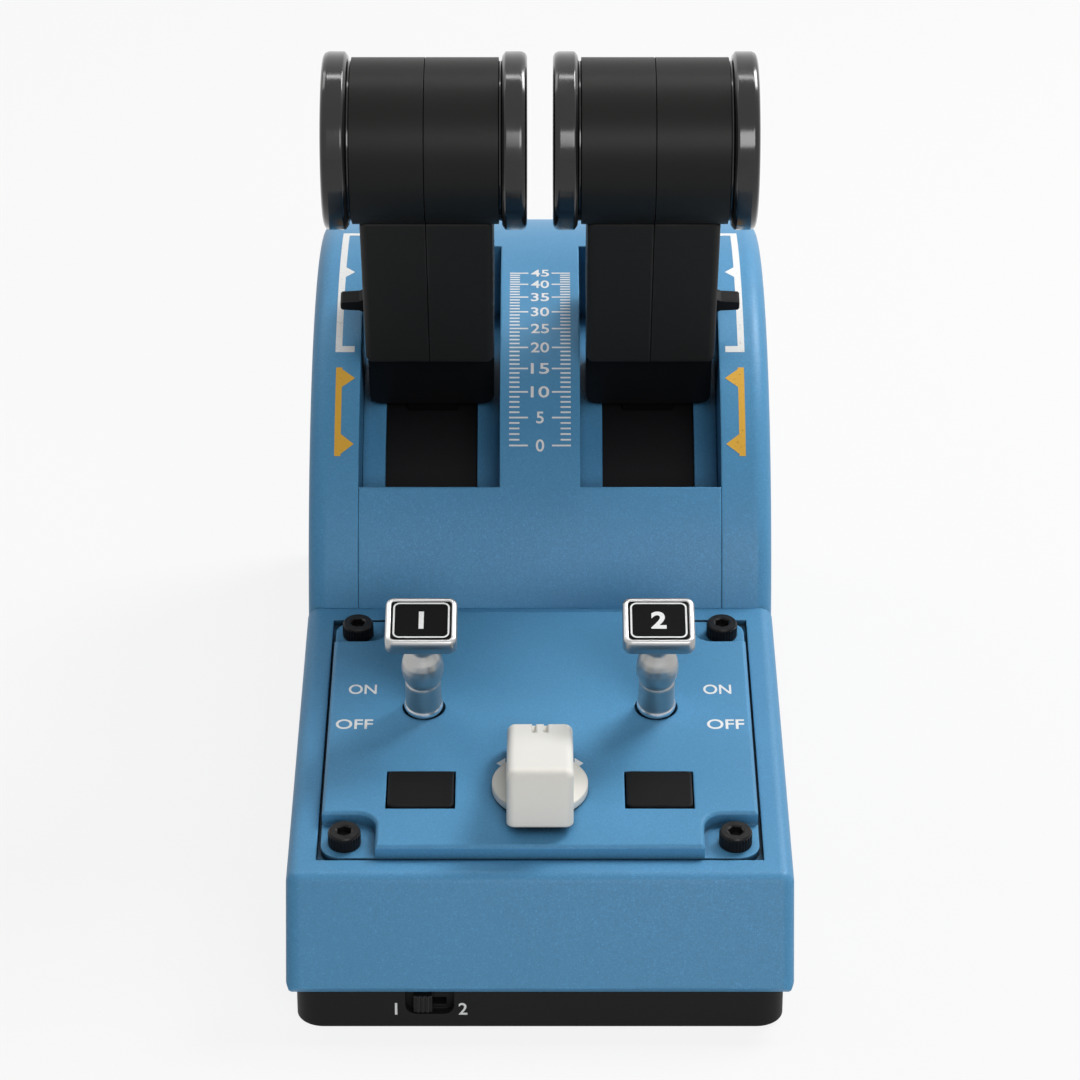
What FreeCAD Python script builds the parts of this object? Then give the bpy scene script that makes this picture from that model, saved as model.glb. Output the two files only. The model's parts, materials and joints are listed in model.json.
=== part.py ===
import FreeCAD, Part
import os
import re
import Sketcher
from FreeCAD import Placement, Rotation, Vector

# A two-lever throttle quadrant for a desk. Millimetres and degrees. X is to the pilot's
# right, Y is away from the pilot, Z is up. The origin is under the middle of the footprint,
# on the surface that the rubber feet stand on.

SIZES = [
    # Overall envelope
    ("body_width", 110.0), ("skin", 3.0),
    ("foot_height", 0.4), ("base_height", 9.4), ("side_setback", 2.0), ("base_setback", 1.5),
    ("base_wall", 2.5), ("base_floor", 3.0), ("base_corner", 6.0), ("base_edge", 0.6),
    # Front housing: the lip, the leaning face and the sloping deck
    ("lip_rise", 1.6), ("lip_setback", 1.2), ("nose_rake", 10.5), ("nose_rise", 23.8),
    ("deck_margin", 5.8), ("deck_slope", 6.46), ("housing_edge", 3.0),
    # Dome over the levers, a cylinder about the lever axle
    ("dome_reach", 82.2), ("dome_overhang", 36.8), ("pivot_height", 16.2), ("dome_edge", 4.3),
    ("rear_round", 3.0), ("seam", 0.1),
    ("lever_offset", 26.3), ("recess_width", 33.5), ("recess_depth", 19.3),
    ("recess_low", 38.3), ("recess_high", 89.8), ("ledge_thickness", 2.0), ("channel_wall", 1.6),
    ("slot_width", 22.3),
    # Deck panel, screwed into a recess of the deck
    ("panel_width", 95.6), ("panel_length", 90.0), ("panel_start", 6.0), ("panel_gap", 0.8),
    ("panel_sink", 1.8), ("panel_rise", 3.2), ("panel_corner", 4.5), ("panel_bevel", 0.6),
    ("pocket_size", 12.0), ("pocket_corner", 4.5), ("panel_ledge", 5.0),
    ("panel_screw_inset", 5.2), ("screw_core", 1.95), ("screw_head", 3.6), ("screw_head_rise", 3.6),
    ("screw_socket", 1.7), ("screw_length", 9.0), ("screw_clearance", 0.05), ("boss_wall", 2.2),
    ("boss_depth", 8.0), ("board_depth", 12.0), ("board_thickness", 1.6), ("post_radius", 2.5),
    # Engine toggles
    ("toggle_offset", 26.35), ("toggle_along", 57.4), ("toggle_hole", 4.9), ("toggle_sink", 2.5),
    ("toggle_lean", 12.0), ("toggle_stem", 4.1), ("toggle_bulb", 4.75), ("toggle_neck", 3.0),
    ("toggle_ball", 3.7), ("toggle_height", 27.8), ("toggle_tail", 1.5), ("tail_length", 8.0),
    ("cap_width", 16.0), ("cap_length", 14.1), ("cap_height", 4.0), ("cap_corner", 2.0),
    ("label_margin", 1.3), ("label_depth", 0.5), ("toggle_case_width", 13.0),
    ("toggle_case_length", 16.0), ("toggle_case_well", 4.2),
    # Start selector knob
    ("knob_along", 26.2), ("knob_width", 14.6), ("knob_length", 32.4), ("knob_front", 16.4),
    ("knob_back", 6.5), ("knob_disc", 10.6), ("disc_height", 1.7), ("knob_lift", 0.4),
    ("knob_corner", 1.8), ("knob_shaft", 3.0), ("notch_width", 0.9), ("notch_length", 7.0),
    ("notch_depth", 0.8), ("notch_spacing", 2.6), ("shaft_clearance", 0.06),
    ("rotary_case", 8.0),
    # Push buttons
    ("button_offset", 26.3), ("button_along", 26.2), ("button_width", 14.6),
    ("button_length", 12.9), ("button_gap", 0.35), ("button_rise", 0.5), ("button_corner", 1.2),
    ("button_flange", 1.2), ("button_stem", 2.0), ("button_travel", 0.8), ("rest_gap", 0.3),
    # Bank selector slide in the front of the base
    ("slide_offset", -23.9), ("slide_recess_width", 10.6), ("slide_recess_depth", 2.4),
    ("slide_recess_height", 6.0), ("slide_recess_round", 2.4), ("slide_block_depth", 5.6),
    ("slide_thumb", 4.0), ("slide_travel", 3.0), ("slide_slot", 1.8),
    # Levers, in their own frame: axle at the origin, Z along the arm, -Y to the pilot
    ("lever_lean", 23.0), ("hub_radius", 10.0), ("hub_width", 22.0), ("axle_radius", 4.0),
    ("axle_clearance", 0.05), ("arm_width", 12.0), ("arm_half_depth", 7.0),
    ("foot_clearance", 0.6), ("foot_half_depth", 8.0), ("box_gap", 4.0), ("box_width", 30.6),
    ("box_half_depth", 15.0), ("box_corner", 1.6), ("foot_corner", 3.0), ("fit_gap", 0.1),
    ("shroud_length", 58.6), ("barrel_radius", 19.1), ("grip_width", 46.7), ("ring_width", 6.5),
    ("ring_radius", 20.45), ("ring_round", 1.8), ("groove", 0.7), ("barrel_wall", 2.5),
    ("head_half_width", 9.0), ("pointer_reach", 6.2), ("pointer_root", 6.6),
    ("pointer_tip", 2.6), ("pointer_depth", 3.6), ("pointer_lift", 5.3),
    ("trim_button", 5.7), ("trim_button_rise", 0.2), ("trim_button_gap", 0.3),
    ("trim_flange", 1.6), ("trim_travel", 1.0), ("ring_web", 2.5), ("magnet_radius", 3.0),
    ("shutter_gap", 0.5), ("shutter_thickness", 1.2), ("shutter_front", 43.4), ("shutter_back", 38.0),
    ("shutter_overlap", 1.8),
    # Axle carriers and electronics
    ("bracket_width", 4.0), ("centre_bracket_width", 20.0), ("washer_radius", 8.0),
    ("bracket_half_depth", 10.0), ("bracket_top", 8.0), ("sensor_gap", 1.0),
    ("board_rise", 0.2), ("main_board_width", 70.0), ("main_board_length", 20.0),
    ("socket_width", 9.0), ("socket_height", 3.3), ("socket_length", 7.4),
    ("socket_slot_width", 8.3), ("socket_slot_height", 2.5), ("socket_mouth", 0.4),
    # Fasteners and feet under the base
    ("foot_radius", 7.0), ("foot_recess", 0.8), ("foot_inset", 17.0), ("foot_offset", 38.0),
    ("case_screw_side", 7.5), ("case_screw_inset", 9.0), ("case_screw_core", 1.5),
    ("case_screw_head", 3.0), ("case_screw_head_rise", 1.7), ("case_screw_length", 13.0),
    ("case_boss", 3.8), ("case_boss_rise", 16.0), ("middle_screw_inset", 11.6),
    ("insert_spacing_x", 60.0), ("insert_spacing_y", 100.0), ("insert_core", 2.1),
    ("insert_radius", 3.2), ("insert_length", 7.0), ("insert_boss", 5.5),
]
SIZE = dict(SIZES)

# Places and sizes that follow from the ones above
DERIVED = {
    "deck_length": "panel_start + panel_length + deck_margin",
    "deck_depth": "nose_rake + deck_length * cos(deck_slope)",
    "body_depth": "deck_depth + dome_reach + dome_overhang",
    "front_edge": "-body_depth / 2",
    "rear_edge": "body_depth / 2",
    "half_width": "body_width / 2",
    "base_width": "body_width - 2 * side_setback",
    "case_screw_offset": "base_width / 2 - case_screw_side",
    "base_bottom": "foot_height",
    "floor_top": "foot_height + base_floor",
    "base_top": "foot_height + base_height",
    "base_front": "front_edge + base_setback",
    "nose_y": "front_edge + nose_rake",
    "nose_z": "base_top + nose_rise",
    "deck_end": "front_edge + deck_depth",
    "deck_end_z": "nose_z + deck_length * sin(deck_slope)",
    "pivot_y": "rear_edge - dome_overhang",
    "dome_radius": "sqrt(dome_reach^2 + (deck_end_z - pivot_height)^2)",
    "ledge_radius": "dome_radius - recess_depth",
    "seam_x": "lever_offset + recess_width / 2",
    "strip_half": "lever_offset - recess_width / 2",
    "panel_mid": "panel_start + panel_length / 2",
    "panel_screw_x": "panel_width / 2 - panel_screw_inset",
    "board_top": "0 - board_depth",
    "foot_start": "ledge_radius + foot_clearance",
    "box_start": "dome_radius + box_gap",
    "grip_height": "box_start + shroud_length",
    "pointer_centre": "box_start + pointer_lift",
    "barrel_half": "grip_width / 2 - ring_width",
    "arm_top": "grip_height",
    "board_z": "base_top + board_rise",
    "board_y": "rear_edge - skin - main_board_length / 2 - fit_gap",
    "bore_radius": "axle_radius + axle_clearance",
    "screw_hole": "screw_core + screw_clearance",
    "case_screw_hole": "case_screw_core + screw_clearance",
    "ring_bore": "trim_button + trim_button_gap",
    "bracket_inner": "lever_offset + hub_width / 2 + 0.5",
}
WORD = re.compile(r"[a-z_][a-z0-9_]*")

doc = FreeCAD.newDocument("throttle_quadrant")
sheet = doc.addObject("Spreadsheet::Sheet", "Sizes")
for row, (name, number) in enumerate(SIZES, start=1):
    sheet.set("A%d" % row, name)
    sheet.set("B%d" % row, str(number))
    sheet.setAlias("B%d" % row, name)
doc.recompute()

nodes = []


def expand(formula):
    """Rewrite a formula in plain names in terms of the size sheet."""
    def swap(match):
        word = match.group()
        if word in DERIVED:
            return "(" + expand(DERIVED[word]) + ")"
        return "Sizes." + word if word in SIZE else word
    return WORD.sub(swap, str(formula))


def bind(obj, prop, formula):
    obj.setExpression(prop, expand(formula))


def place(obj, x="0", y="0", z="0", tilt=None):
    """Move an object, and lean it about X when a tilt is given."""
    if tilt is not None:
        obj.Placement = Placement(Vector(), Rotation(Vector(1, 0, 0), 10))
        bind(obj, "Placement.Rotation.Angle", tilt)
    for axis, formula in (("x", x), ("y", y), ("z", z)):
        bind(obj, "Placement.Base." + axis, formula)
    return obj


def box(x, y, z):
    """A block between the two limits given for each axis."""
    obj = doc.addObject("Part::Box", "block")
    for prop, span in (("Length", x), ("Width", y), ("Height", z)):
        bind(obj, prop, "(%s) - (%s)" % (span[1], span[0]))
    return place(obj, x[0], y[0], z[0])


def block(x, y, z):
    """A block given by its middle and whole width on X, and limits on Y and Z."""
    return box(("(%s) - (%s) / 2" % x, "(%s) + (%s) / 2" % x), y, z)


def rod_z(radius, x, y, z):
    """An upright cylinder with its foot and top given by z."""
    obj = doc.addObject("Part::Cylinder", "rod")
    bind(obj, "Radius", radius)
    bind(obj, "Height", "(%s) - (%s)" % (z[1], z[0]))
    return place(obj, x, y, z[0])


def rod_x(radius, x, y="0", z="0"):
    """A cylinder along X between two limits."""
    obj = doc.addObject("Part::Cylinder", "rod")
    bind(obj, "Radius", radius)
    bind(obj, "Height", "(%s) - (%s)" % (x[1], x[0]))
    obj.Placement = Placement(Vector(), Rotation(Vector(0, 1, 0), 90))
    return place(obj, x[0], y, z)


def cut(base, *tools):
    obj = doc.addObject("Part::Cut", "cut")
    obj.Base = base
    obj.Tool = tools[0] if len(tools) == 1 else join(*tools)
    return obj


def join(*parts):
    if len(parts) == 1:
        return parts[0]
    obj = doc.addObject("Part::MultiFuse", "join")
    obj.Shapes = list(parts)
    return obj


def common(*parts):
    obj = doc.addObject("Part::MultiCommon", "common")
    obj.Shapes = list(parts)
    return obj


def new_body(name):
    return doc.addObject("PartDesign::Body", name)


def sketch_on(body, role, offset="0"):
    """An empty sketch on one of the body's own planes, moved along its normal."""
    plane = [item for item in body.Origin.OriginFeatures if item.Role == role][0]
    sketch = body.newObject("Sketcher::SketchObject", "profile")
    sketch.AttachmentSupport = (plane, [""])
    sketch.MapMode = "FlatFace"
    bind(sketch, "AttachmentOffset.Base.z", offset)
    return sketch


def fix_point(sketch, geometry, end, x, y):
    for kind, formula in (("DistanceX", x), ("DistanceY", y)):
        index = sketch.addConstraint(Sketcher.Constraint(kind, -1, 1, geometry, end, 1.0))
        bind(sketch, "Constraints[%d]" % index, formula)


def draw(sketch, points):
    """A closed outline whose every corner is tied to two formulas."""
    first = sketch.GeometryCount
    count = len(points)
    for step in range(count):
        start = Vector(step, step * step, 0)
        end = Vector(step + 1, (step + 1) ** 2, 0)
        sketch.addGeometry(Part.LineSegment(start, end), False)
    for step, (x, y) in enumerate(points):
        follower = first + (step + 1) % count
        sketch.addConstraint(Sketcher.Constraint("Coincident", first + step, 2, follower, 1))
        fix_point(sketch, first + step, 1, x, y)
    return sketch


def circle(sketch, x, y, radius):
    index = sketch.addGeometry(Part.Circle(Vector(1, 1, 0), Vector(0, 0, 1), 1.0), False)
    fix_point(sketch, index, 3, x, y)
    size = sketch.addConstraint(Sketcher.Constraint("Radius", index, 1.0))
    bind(sketch, "Constraints[%d]" % size, radius)
    return sketch


def rectangle(x, y):
    """Corner points of a rectangle from its limits on both axes."""
    return [(x[0], y[0]), (x[1], y[0]), (x[1], y[1]), (x[0], y[1])]


def pad(body, sketch, length):
    feature = body.newObject("PartDesign::Pad", "pad")
    feature.Profile = sketch
    bind(feature, "Length", length)
    return feature


def pocket(body, sketch, length):
    """Cut along the sketch's own normal."""
    feature = body.newObject("PartDesign::Pocket", "pocket")
    feature.Profile = sketch
    feature.Reversed = True
    bind(feature, "Length", length)
    return feature


def turn(body, sketch, axis="V_Axis"):
    feature = body.newObject("PartDesign::Revolution", "turned")
    feature.Profile = sketch
    feature.ReferenceAxis = (sketch, [axis])
    feature.Angle = 360.0
    return feature


def edges_where(shape, test):
    """Names of the edges whose middle point and direction pass the test, given the whole box."""
    found = []
    bounds = shape.BoundBox
    for number, edge in enumerate(shape.Edges, start=1):
        middle = edge.valueAt((edge.FirstParameter + edge.LastParameter) / 2)
        along = edge.tangentAt((edge.FirstParameter + edge.LastParameter) / 2)
        if test(middle, along, bounds):
            found.append("Edge%d" % number)
    return found


def soften(body, kind, prop, amount, test):
    """Fillet or chamfer the edges of the body's last feature that pass the test."""
    doc.recompute()
    base = body.Tip
    feature = body.newObject("PartDesign::" + kind, kind.lower())
    feature.Base = (base, edges_where(base.Shape, test))
    bind(feature, prop, amount)
    return feature


def fillet(body, amount, test):
    return soften(body, "Fillet", "Radius", amount, test)


def chamfer(body, amount, test):
    return soften(body, "Chamfer", "Size", amount, test)


def upright(middle, along, bounds):
    return abs(along.z) > 0.999


def at_top(middle, along, bounds):
    return abs(middle.z - bounds.ZMax) < 0.01


def at_bottom(middle, along, bounds):
    return abs(middle.z - bounds.ZMin) < 0.01


def node(label, *solids):
    """Register one named piece, or a group of like pieces, of the finished object."""
    group = doc.addObject("Part::Compound", label)
    group.Label = label
    group.Links = list(solids)
    nodes.append(group)
    return group


def on_deck(label, *solids):
    """A node drawn in the deck's frame: Y runs up the slope and Z stands square to it."""
    return place(node(label, *solids), "0", "nose_y", "nose_z", "deck_slope")


def on_lever(label, side, *solids):
    """A node drawn in a lever's frame and leaned with the lever."""
    return place(node(label, *solids), "%d * lever_offset" % side, "pivot_y", "pivot_height", "lever_lean")


def on_toggle(label, side, *solids):
    """A node drawn about a toggle's pivot and leaned to its OFF place."""
    rise = "(panel_rise - toggle_sink)"
    y = "nose_y + toggle_along * cos(deck_slope) - %s * sin(deck_slope)" % rise
    z = "nose_z + toggle_along * sin(deck_slope) + %s * cos(deck_slope)" % rise
    return place(node(label, *solids), "%d * toggle_offset" % side, y, z, "deck_slope + toggle_lean")


def sided(side, near, far):
    """Limits on X for a piece that lies from near to far on the given side."""
    return (near, far) if side > 0 else ("-(%s)" % far, "-(%s)" % near)


def corners(x, y_low, y_high):
    return [(sign + "(" + x + ")", y) for sign in ("-", "") for y in (y_low, y_high)]


CASE_SCREWS = corners("case_screw_offset", "base_front + case_screw_inset",
                      "rear_edge - base_setback - case_screw_inset")
CASE_SCREWS += [(sign + "case_screw_offset", "deck_end - middle_screw_inset") for sign in ("-", "")]
FEET = corners("foot_offset", "base_front + foot_inset", "rear_edge - base_setback - foot_inset")
INSERTS = corners("insert_spacing_x / 2", "-insert_spacing_y / 2", "insert_spacing_y / 2")
SIDES = ((1, -1), (2, 1))


def base_pan():
    """Moulded tray with screw sleeves, foot recesses, board posts and the slide recess."""
    half = "base_width / 2"
    body = new_body("tray")
    outline = rectangle(("-" + half, half), ("base_front", "rear_edge - base_setback"))
    pad(body, draw(sketch_on(body, "XY_Plane", "base_bottom"), outline), "base_height")
    fillet(body, "base_corner", upright)
    fillet(body, "base_edge", at_bottom)
    inner = rectangle(("-%s + base_wall" % half, half + " - base_wall"),
                      ("base_front + base_wall", "rear_edge - base_setback - base_wall"))
    pocket(body, draw(sketch_on(body, "XY_Plane", "floor_top"), inner), "base_height")
    inserts = [rod_z("insert_boss", x, y, ("base_bottom", "base_bottom + insert_length + 1"))
               for x, y in INSERTS]
    posts = [rod_z("post_radius", x, y, ("floor_top", "board_z"))
             for x, y in corners("main_board_width / 2 - 4", "board_y - 6", "board_y + 6")]
    slide_wall = block(("slide_offset", "slide_recess_width + 6"),
                       ("base_front + 1", "base_front + slide_block_depth"), ("floor_top - 1", "base_top"))
    holes = [rod_z("insert_radius", x, y, ("base_bottom - 1", "base_bottom + insert_length"))
             for x, y in INSERTS]
    holes += [rod_z("foot_radius", x, y, ("base_bottom - 1", "base_bottom + foot_recess"))
              for x, y in FEET]
    for x, y in CASE_SCREWS:
        holes.append(rod_z("case_screw_hole", x, y, ("0", "floor_top + 1")))
        holes.append(rod_z("case_screw_head + fit_gap", x, y,
                           ("0", "base_bottom + case_screw_head_rise")))
    recess = new_body("slide_recess")
    outline = rectangle(("slide_offset - slide_recess_width / 2", "slide_offset + slide_recess_width / 2"),
                        ("base_front - 2", "base_front + slide_recess_depth"))
    pad(recess, draw(sketch_on(recess, "XY_Plane", "base_top - slide_recess_height"), outline),
        "slide_recess_height + 1")
    fillet(recess, "slide_recess_round",
           lambda middle, along, bounds: at_bottom(middle, along, bounds) and abs(along.y) > 0.99)
    holes.append(recess)
    holes.append(block(("slide_offset", "slide_thumb + slide_travel + 0.2"),
                       ("base_front", "base_front + slide_block_depth + 1"),
                       ("base_top - 5", "base_top - 5 + slide_slot")))
    return node("base_pan", cut(join(body, slide_wall, *(inserts + posts)), *holes))


def fasteners_and_feet():
    """Feet, casing screws and threaded inserts: groups of like pieces under the base."""
    node("rubber_feet", *[rod_z("foot_radius - fit_gap / 2", x, y, ("0", "base_bottom + foot_recess"))
                          for x, y in FEET])
    screws = []
    for x, y in CASE_SCREWS:
        body = new_body("case_screw")
        core, head, top = "case_screw_core", "case_screw_head", "case_screw_head_rise"
        outline = [("0", "1"), (head + " / 2", "1"), (head + " / 2", "0"), (head, "0"), (head, top),
                   (core, top), (core, "case_screw_length"), ("0", "case_screw_length")]
        turn(body, draw(sketch_on(body, "XZ_Plane"), outline))
        screws.append(place(body, x, y, "base_bottom"))
    node("case_screws", *screws)
    inserts = []
    for x, y in INSERTS:
        sleeve = rod_z("insert_radius", x, y, ("base_bottom", "base_bottom + insert_length"))
        core = rod_z("insert_core", x, y, ("base_bottom - 1", "base_bottom + insert_length + 1"))
        inserts.append(cut(sleeve, core))
    node("mount_inserts", *inserts)


def case_bosses(picks):
    """Bosses that take the casing screws, standing on the floor of the tray."""
    solid = [rod_z("case_boss", x, y, ("floor_top", "floor_top + case_boss_rise")) for x, y in picks]
    holes = [rod_z("case_screw_hole", x, y, ("0", "base_bottom + case_screw_length + 0.5"))
             for x, y in picks]
    return solid, holes


def side_lip(side):
    """Wedge that bevels the bottom edge along one side of the blue shells."""
    body = new_body("side_lip")
    edge, low = "half_width", "base_top"
    outline = [(edge + " - lip_setback", low), (edge, low + " + lip_rise"),
               (edge + " + 1", low + " + lip_rise"),
               (edge + " + 1", low + " - 1"), (edge + " - lip_setback", low + " - 1")]
    if side < 0:
        outline = [("-(%s)" % x, z) for x, z in outline]
    pad(body, draw(sketch_on(body, "XZ_Plane", "front_edge - 1"), outline), "body_depth + 2")
    return body


def rounded_edges(solid, picks):
    """A solid with rounded edges: each pick is a size and the test that its edges pass."""
    doc.recompute()
    feature = doc.addObject("Part::Fillet", "rounded")
    feature.Base = solid
    feature.Edges = [(int(edge[4:]), SIZE[size], SIZE[size])
                     for size, test in picks for edge in edges_where(solid.Shape, test)]
    return feature


def rear_top(middle, along, bounds):
    """True for the edge where the dome's curved top meets its flat back."""
    return abs(middle.y - bounds.YMax) < 0.01 and abs(along.x) > 0.99 and middle.z > bounds.ZMin + 1


def front_housing():
    """Nose and deck moulding: one side profile, hollowed, with a recessed panel opening."""
    body = new_body("nose_and_deck")
    outer = [("front_edge + lip_setback", "base_top"), ("front_edge", "base_top + lip_rise"),
             ("nose_y", "nose_z"), ("deck_end", "deck_end_z"), ("deck_end", "base_top")]
    pad(body, draw(sketch_on(body, "YZ_Plane", "-half_width"), outer), "body_width")
    lip = SIZE["lip_rise"] + 1

    def softened(middle, along, bounds):
        above_lip = middle.z > bounds.ZMin + lip and middle.y < bounds.YMax - 1
        side = abs(abs(middle.x) - bounds.XMax) < 0.01
        return above_lip and (side or abs(along.x) > 0.99)
    fillet(body, "housing_edge", softened)
    inner = [("front_edge + lip_setback + skin", "base_top - 1"),
             ("front_edge + lip_setback + skin", "base_top + lip_rise"),
             ("nose_y + skin * 0.75", "nose_z - skin * 1.1"),
             ("deck_end + 1", "deck_end_z - skin"), ("deck_end + 1", "base_top - 1")]
    pocket(body, draw(sketch_on(body, "YZ_Plane", "-half_width + skin"), inner),
           "body_width - 2 * skin")
    bosses, holes = case_bosses([CASE_SCREWS[0], CASE_SCREWS[2], CASE_SCREWS[4], CASE_SCREWS[5]])
    recess = block(("0", "panel_width + 2 * panel_gap"),
                   ("panel_start - panel_gap", "panel_start + panel_length + panel_gap"),
                   ("-panel_sink", "10"))
    opening = block(("0", "panel_width - 4 * panel_ledge"),
                    ("panel_start + panel_ledge", "panel_start + panel_length - panel_ledge"),
                    ("-10", "0"))
    screw_bosses = []
    screw_holes = []
    for x, y in corners("panel_screw_x", "panel_start + panel_screw_inset",
                        "panel_start + panel_length - panel_screw_inset"):
        screw_bosses.append(rod_z("screw_core + boss_wall", x, y,
                                  ("-panel_sink - boss_depth", "-panel_sink")))
        screw_holes.append(rod_z("screw_hole", x, y, ("-panel_sink - boss_depth - 1", "1")))
    solid = join(body, *(bosses + [slope(item) for item in screw_bosses]))
    holes += [slope(item) for item in [recess, opening] + screw_holes]
    holes += [side_lip(side) for number, side in SIDES]
    return node("front_housing", cut(solid, *holes))


def slope(solid):
    """Carry a solid drawn in the deck's frame over to the object's own frame."""
    carrier = doc.addObject("Part::Compound", "sloped")
    carrier.Links = [solid]
    return place(carrier, "0", "nose_y", "nose_z", "deck_slope")


def dome_solid(x, radius, y_low, y_high, z_low):
    """The dome's cylinder between two planes on X, cut off by the deck, the back and the base."""
    region = box(x, (y_low, y_high), (z_low, "pivot_height + dome_radius + 10"))
    return common(rod_x(radius, x, "pivot_y", "pivot_height"), region)


def channel(side, radius, widen):
    """The lever's channel: a ring sector outside the given radius, widened on every side."""
    body = new_body("channel")
    low = "(recess_low - %s / dome_radius * 180 / pi)" % widen
    high = "(recess_high + %s / dome_radius * 180 / pi)" % widen
    reach = "1.6 * dome_radius"
    outline = [("pivot_y", "pivot_height")]
    for angle in (low, "(recess_low + recess_high) / 2", high):
        outline.append(("pivot_y - %s * cos(%s)" % (reach, angle),
                        "pivot_height + %s * sin(%s)" % (reach, angle)))
    x = sided(side, "strip_half - " + widen, "seam_x + 1 + " + widen)
    pad(body, draw(sketch_on(body, "YZ_Plane", x[0]), outline), "(%s) - (%s)" % (x[1], x[0]))
    return cut(body, rod_x(radius, (x[0] + " - 1", x[1] + " + 1"), "pivot_y", "pivot_height"))


def slot(side):
    """The dark slot between the two ledges, cut through the channel's floor."""
    body = new_body("slot")
    outline = [("pivot_y", "pivot_height")]
    for angle in ("recess_low", "(recess_low + recess_high) / 2", "recess_high"):
        outline.append(("pivot_y - 1.6 * dome_radius * cos(%s)" % angle,
                        "pivot_height + 1.6 * dome_radius * sin(%s)" % angle))
    low = "%d * lever_offset - slot_width / 2" % side
    pad(body, draw(sketch_on(body, "YZ_Plane", low), outline), "slot_width")
    return body


def dome_centre():
    """Middle of the dome: front skin, scale strip, and the two stepped lever channels."""
    x = ("-seam_x + seam", "seam_x - seam")
    block_shape = dome_solid(x, "dome_radius", "deck_end", "rear_edge", "base_top")
    shell = rounded_edges(block_shape, [("rear_round", rear_top)])
    hollow = dome_solid(("-seam_x - 1", "seam_x + 1"), "dome_radius - skin", "deck_end - 5",
                        "rear_edge - skin", "base_top - 1")
    walls = [channel(side, "ledge_radius - ledge_thickness", "channel_wall") for number, side in SIDES]
    channels = [channel(side, "ledge_radius", "0") for number, side in SIDES]
    slots = [slot(side) for number, side in SIDES]
    socket = block(("0", "socket_width + 2 * socket_mouth"), ("rear_edge - 10", "rear_edge + 1"),
                   ("board_z + board_thickness - socket_mouth",
                    "board_z + board_thickness + socket_height + socket_mouth"))
    return node("dome_centre", cut(cut(shell, cut(hollow, *walls)), *(channels + slots + [socket])))


def cheek(label, side):
    """Side shell of the dome: outer wall, curved top and the inner wall beside the channel."""
    x = sided(side, "seam_x", "half_width")
    block_shape = dome_solid(x, "dome_radius", "deck_end", "rear_edge", "base_top")

    def outer_rim(middle, along, bounds):
        outermost = max(abs(bounds.XMax), abs(bounds.XMin))
        return middle.x * side > outermost - 0.01 and middle.z > bounds.ZMin + 1 and abs(along.z) < 0.99
    rounded = rounded_edges(block_shape, [("dome_edge", outer_rim), ("rear_round", rear_top)])
    hollow = dome_solid(sided(side, "seam_x + channel_wall", "half_width - skin"),
                        "dome_radius - skin", "deck_end - 5", "rear_edge - skin", "base_top - 1")
    passage = dome_solid(sided(side, "seam_x - 1", "seam_x + channel_wall + 1"),
                         "ledge_radius - ledge_thickness", "deck_end - 5", "rear_edge - skin",
                         "base_top - 1")
    bosses, holes = case_bosses([CASE_SCREWS[1] if side < 0 else CASE_SCREWS[3]])
    return node(label, cut(join(cut(rounded, hollow, passage), *bosses), side_lip(side), *holes))


def deck_panel():
    """Raised control panel with stepped corners for its screws and openings for the controls."""
    body = new_body("panel")
    half = "panel_width / 2"
    end = "panel_start + panel_length"
    size = "pocket_size"
    flange = rectangle(("-" + half, half), ("panel_start", end))
    pad(body, draw(sketch_on(body, "XY_Plane", "-panel_sink"), flange), "panel_sink")
    fillet(body, "panel_corner", upright)
    inner = half + " - " + size
    near, far = "panel_start + " + size, end + " - " + size
    raised = [("-(%s)" % inner, "panel_start"), (inner, "panel_start"), (inner, near), (half, near),
              (half, far), (inner, far), (inner, end), ("-(%s)" % inner, end),
              ("-(%s)" % inner, far), ("-" + half, far), ("-" + half, near), ("-(%s)" % inner, near)]
    pad(body, draw(sketch_on(body, "XY_Plane", "0"), raised), "panel_rise")
    inset = SIZE["pocket_size"]

    def inside_corner(middle, along, bounds):
        near_x = abs(bounds.XMax - inset - abs(middle.x)) < 0.01
        near_y = min(middle.y - bounds.YMin, bounds.YMax - middle.y) - inset
        return upright(middle, along, bounds) and near_x and abs(near_y) < 0.01
    fillet(body, "pocket_corner", inside_corner)
    chamfer(body, "panel_bevel", at_top)
    holes = sketch_on(body, "XY_Plane", "-panel_sink - 1")
    circle(holes, "0", "knob_along", "knob_shaft + 0.5")
    for number, side in SIDES:
        circle(holes, "%d * toggle_offset" % side, "toggle_along", "toggle_hole")
        x = "%d * button_offset" % side
        wide, deep = "(button_width / 2 + button_gap)", "(button_length / 2 + button_gap)"
        draw(holes, rectangle((x + " - " + wide, x + " + " + wide),
                              ("button_along - " + deep, "button_along + " + deep)))
    for x, y in corners("panel_screw_x", "panel_start + panel_screw_inset",
                        end + " - panel_screw_inset"):
        circle(holes, x, y, "screw_hole")
    pocket(body, holes, "panel_sink + panel_rise + 2")
    posts = [rod_z("post_radius", x, y, ("board_top", "-panel_sink"))
             for x, y in corners("panel_width / 2 - 3 * panel_ledge", "panel_mid - 36", "panel_mid + 36")]
    return on_deck("deck_panel", join(body, *posts))


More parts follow.
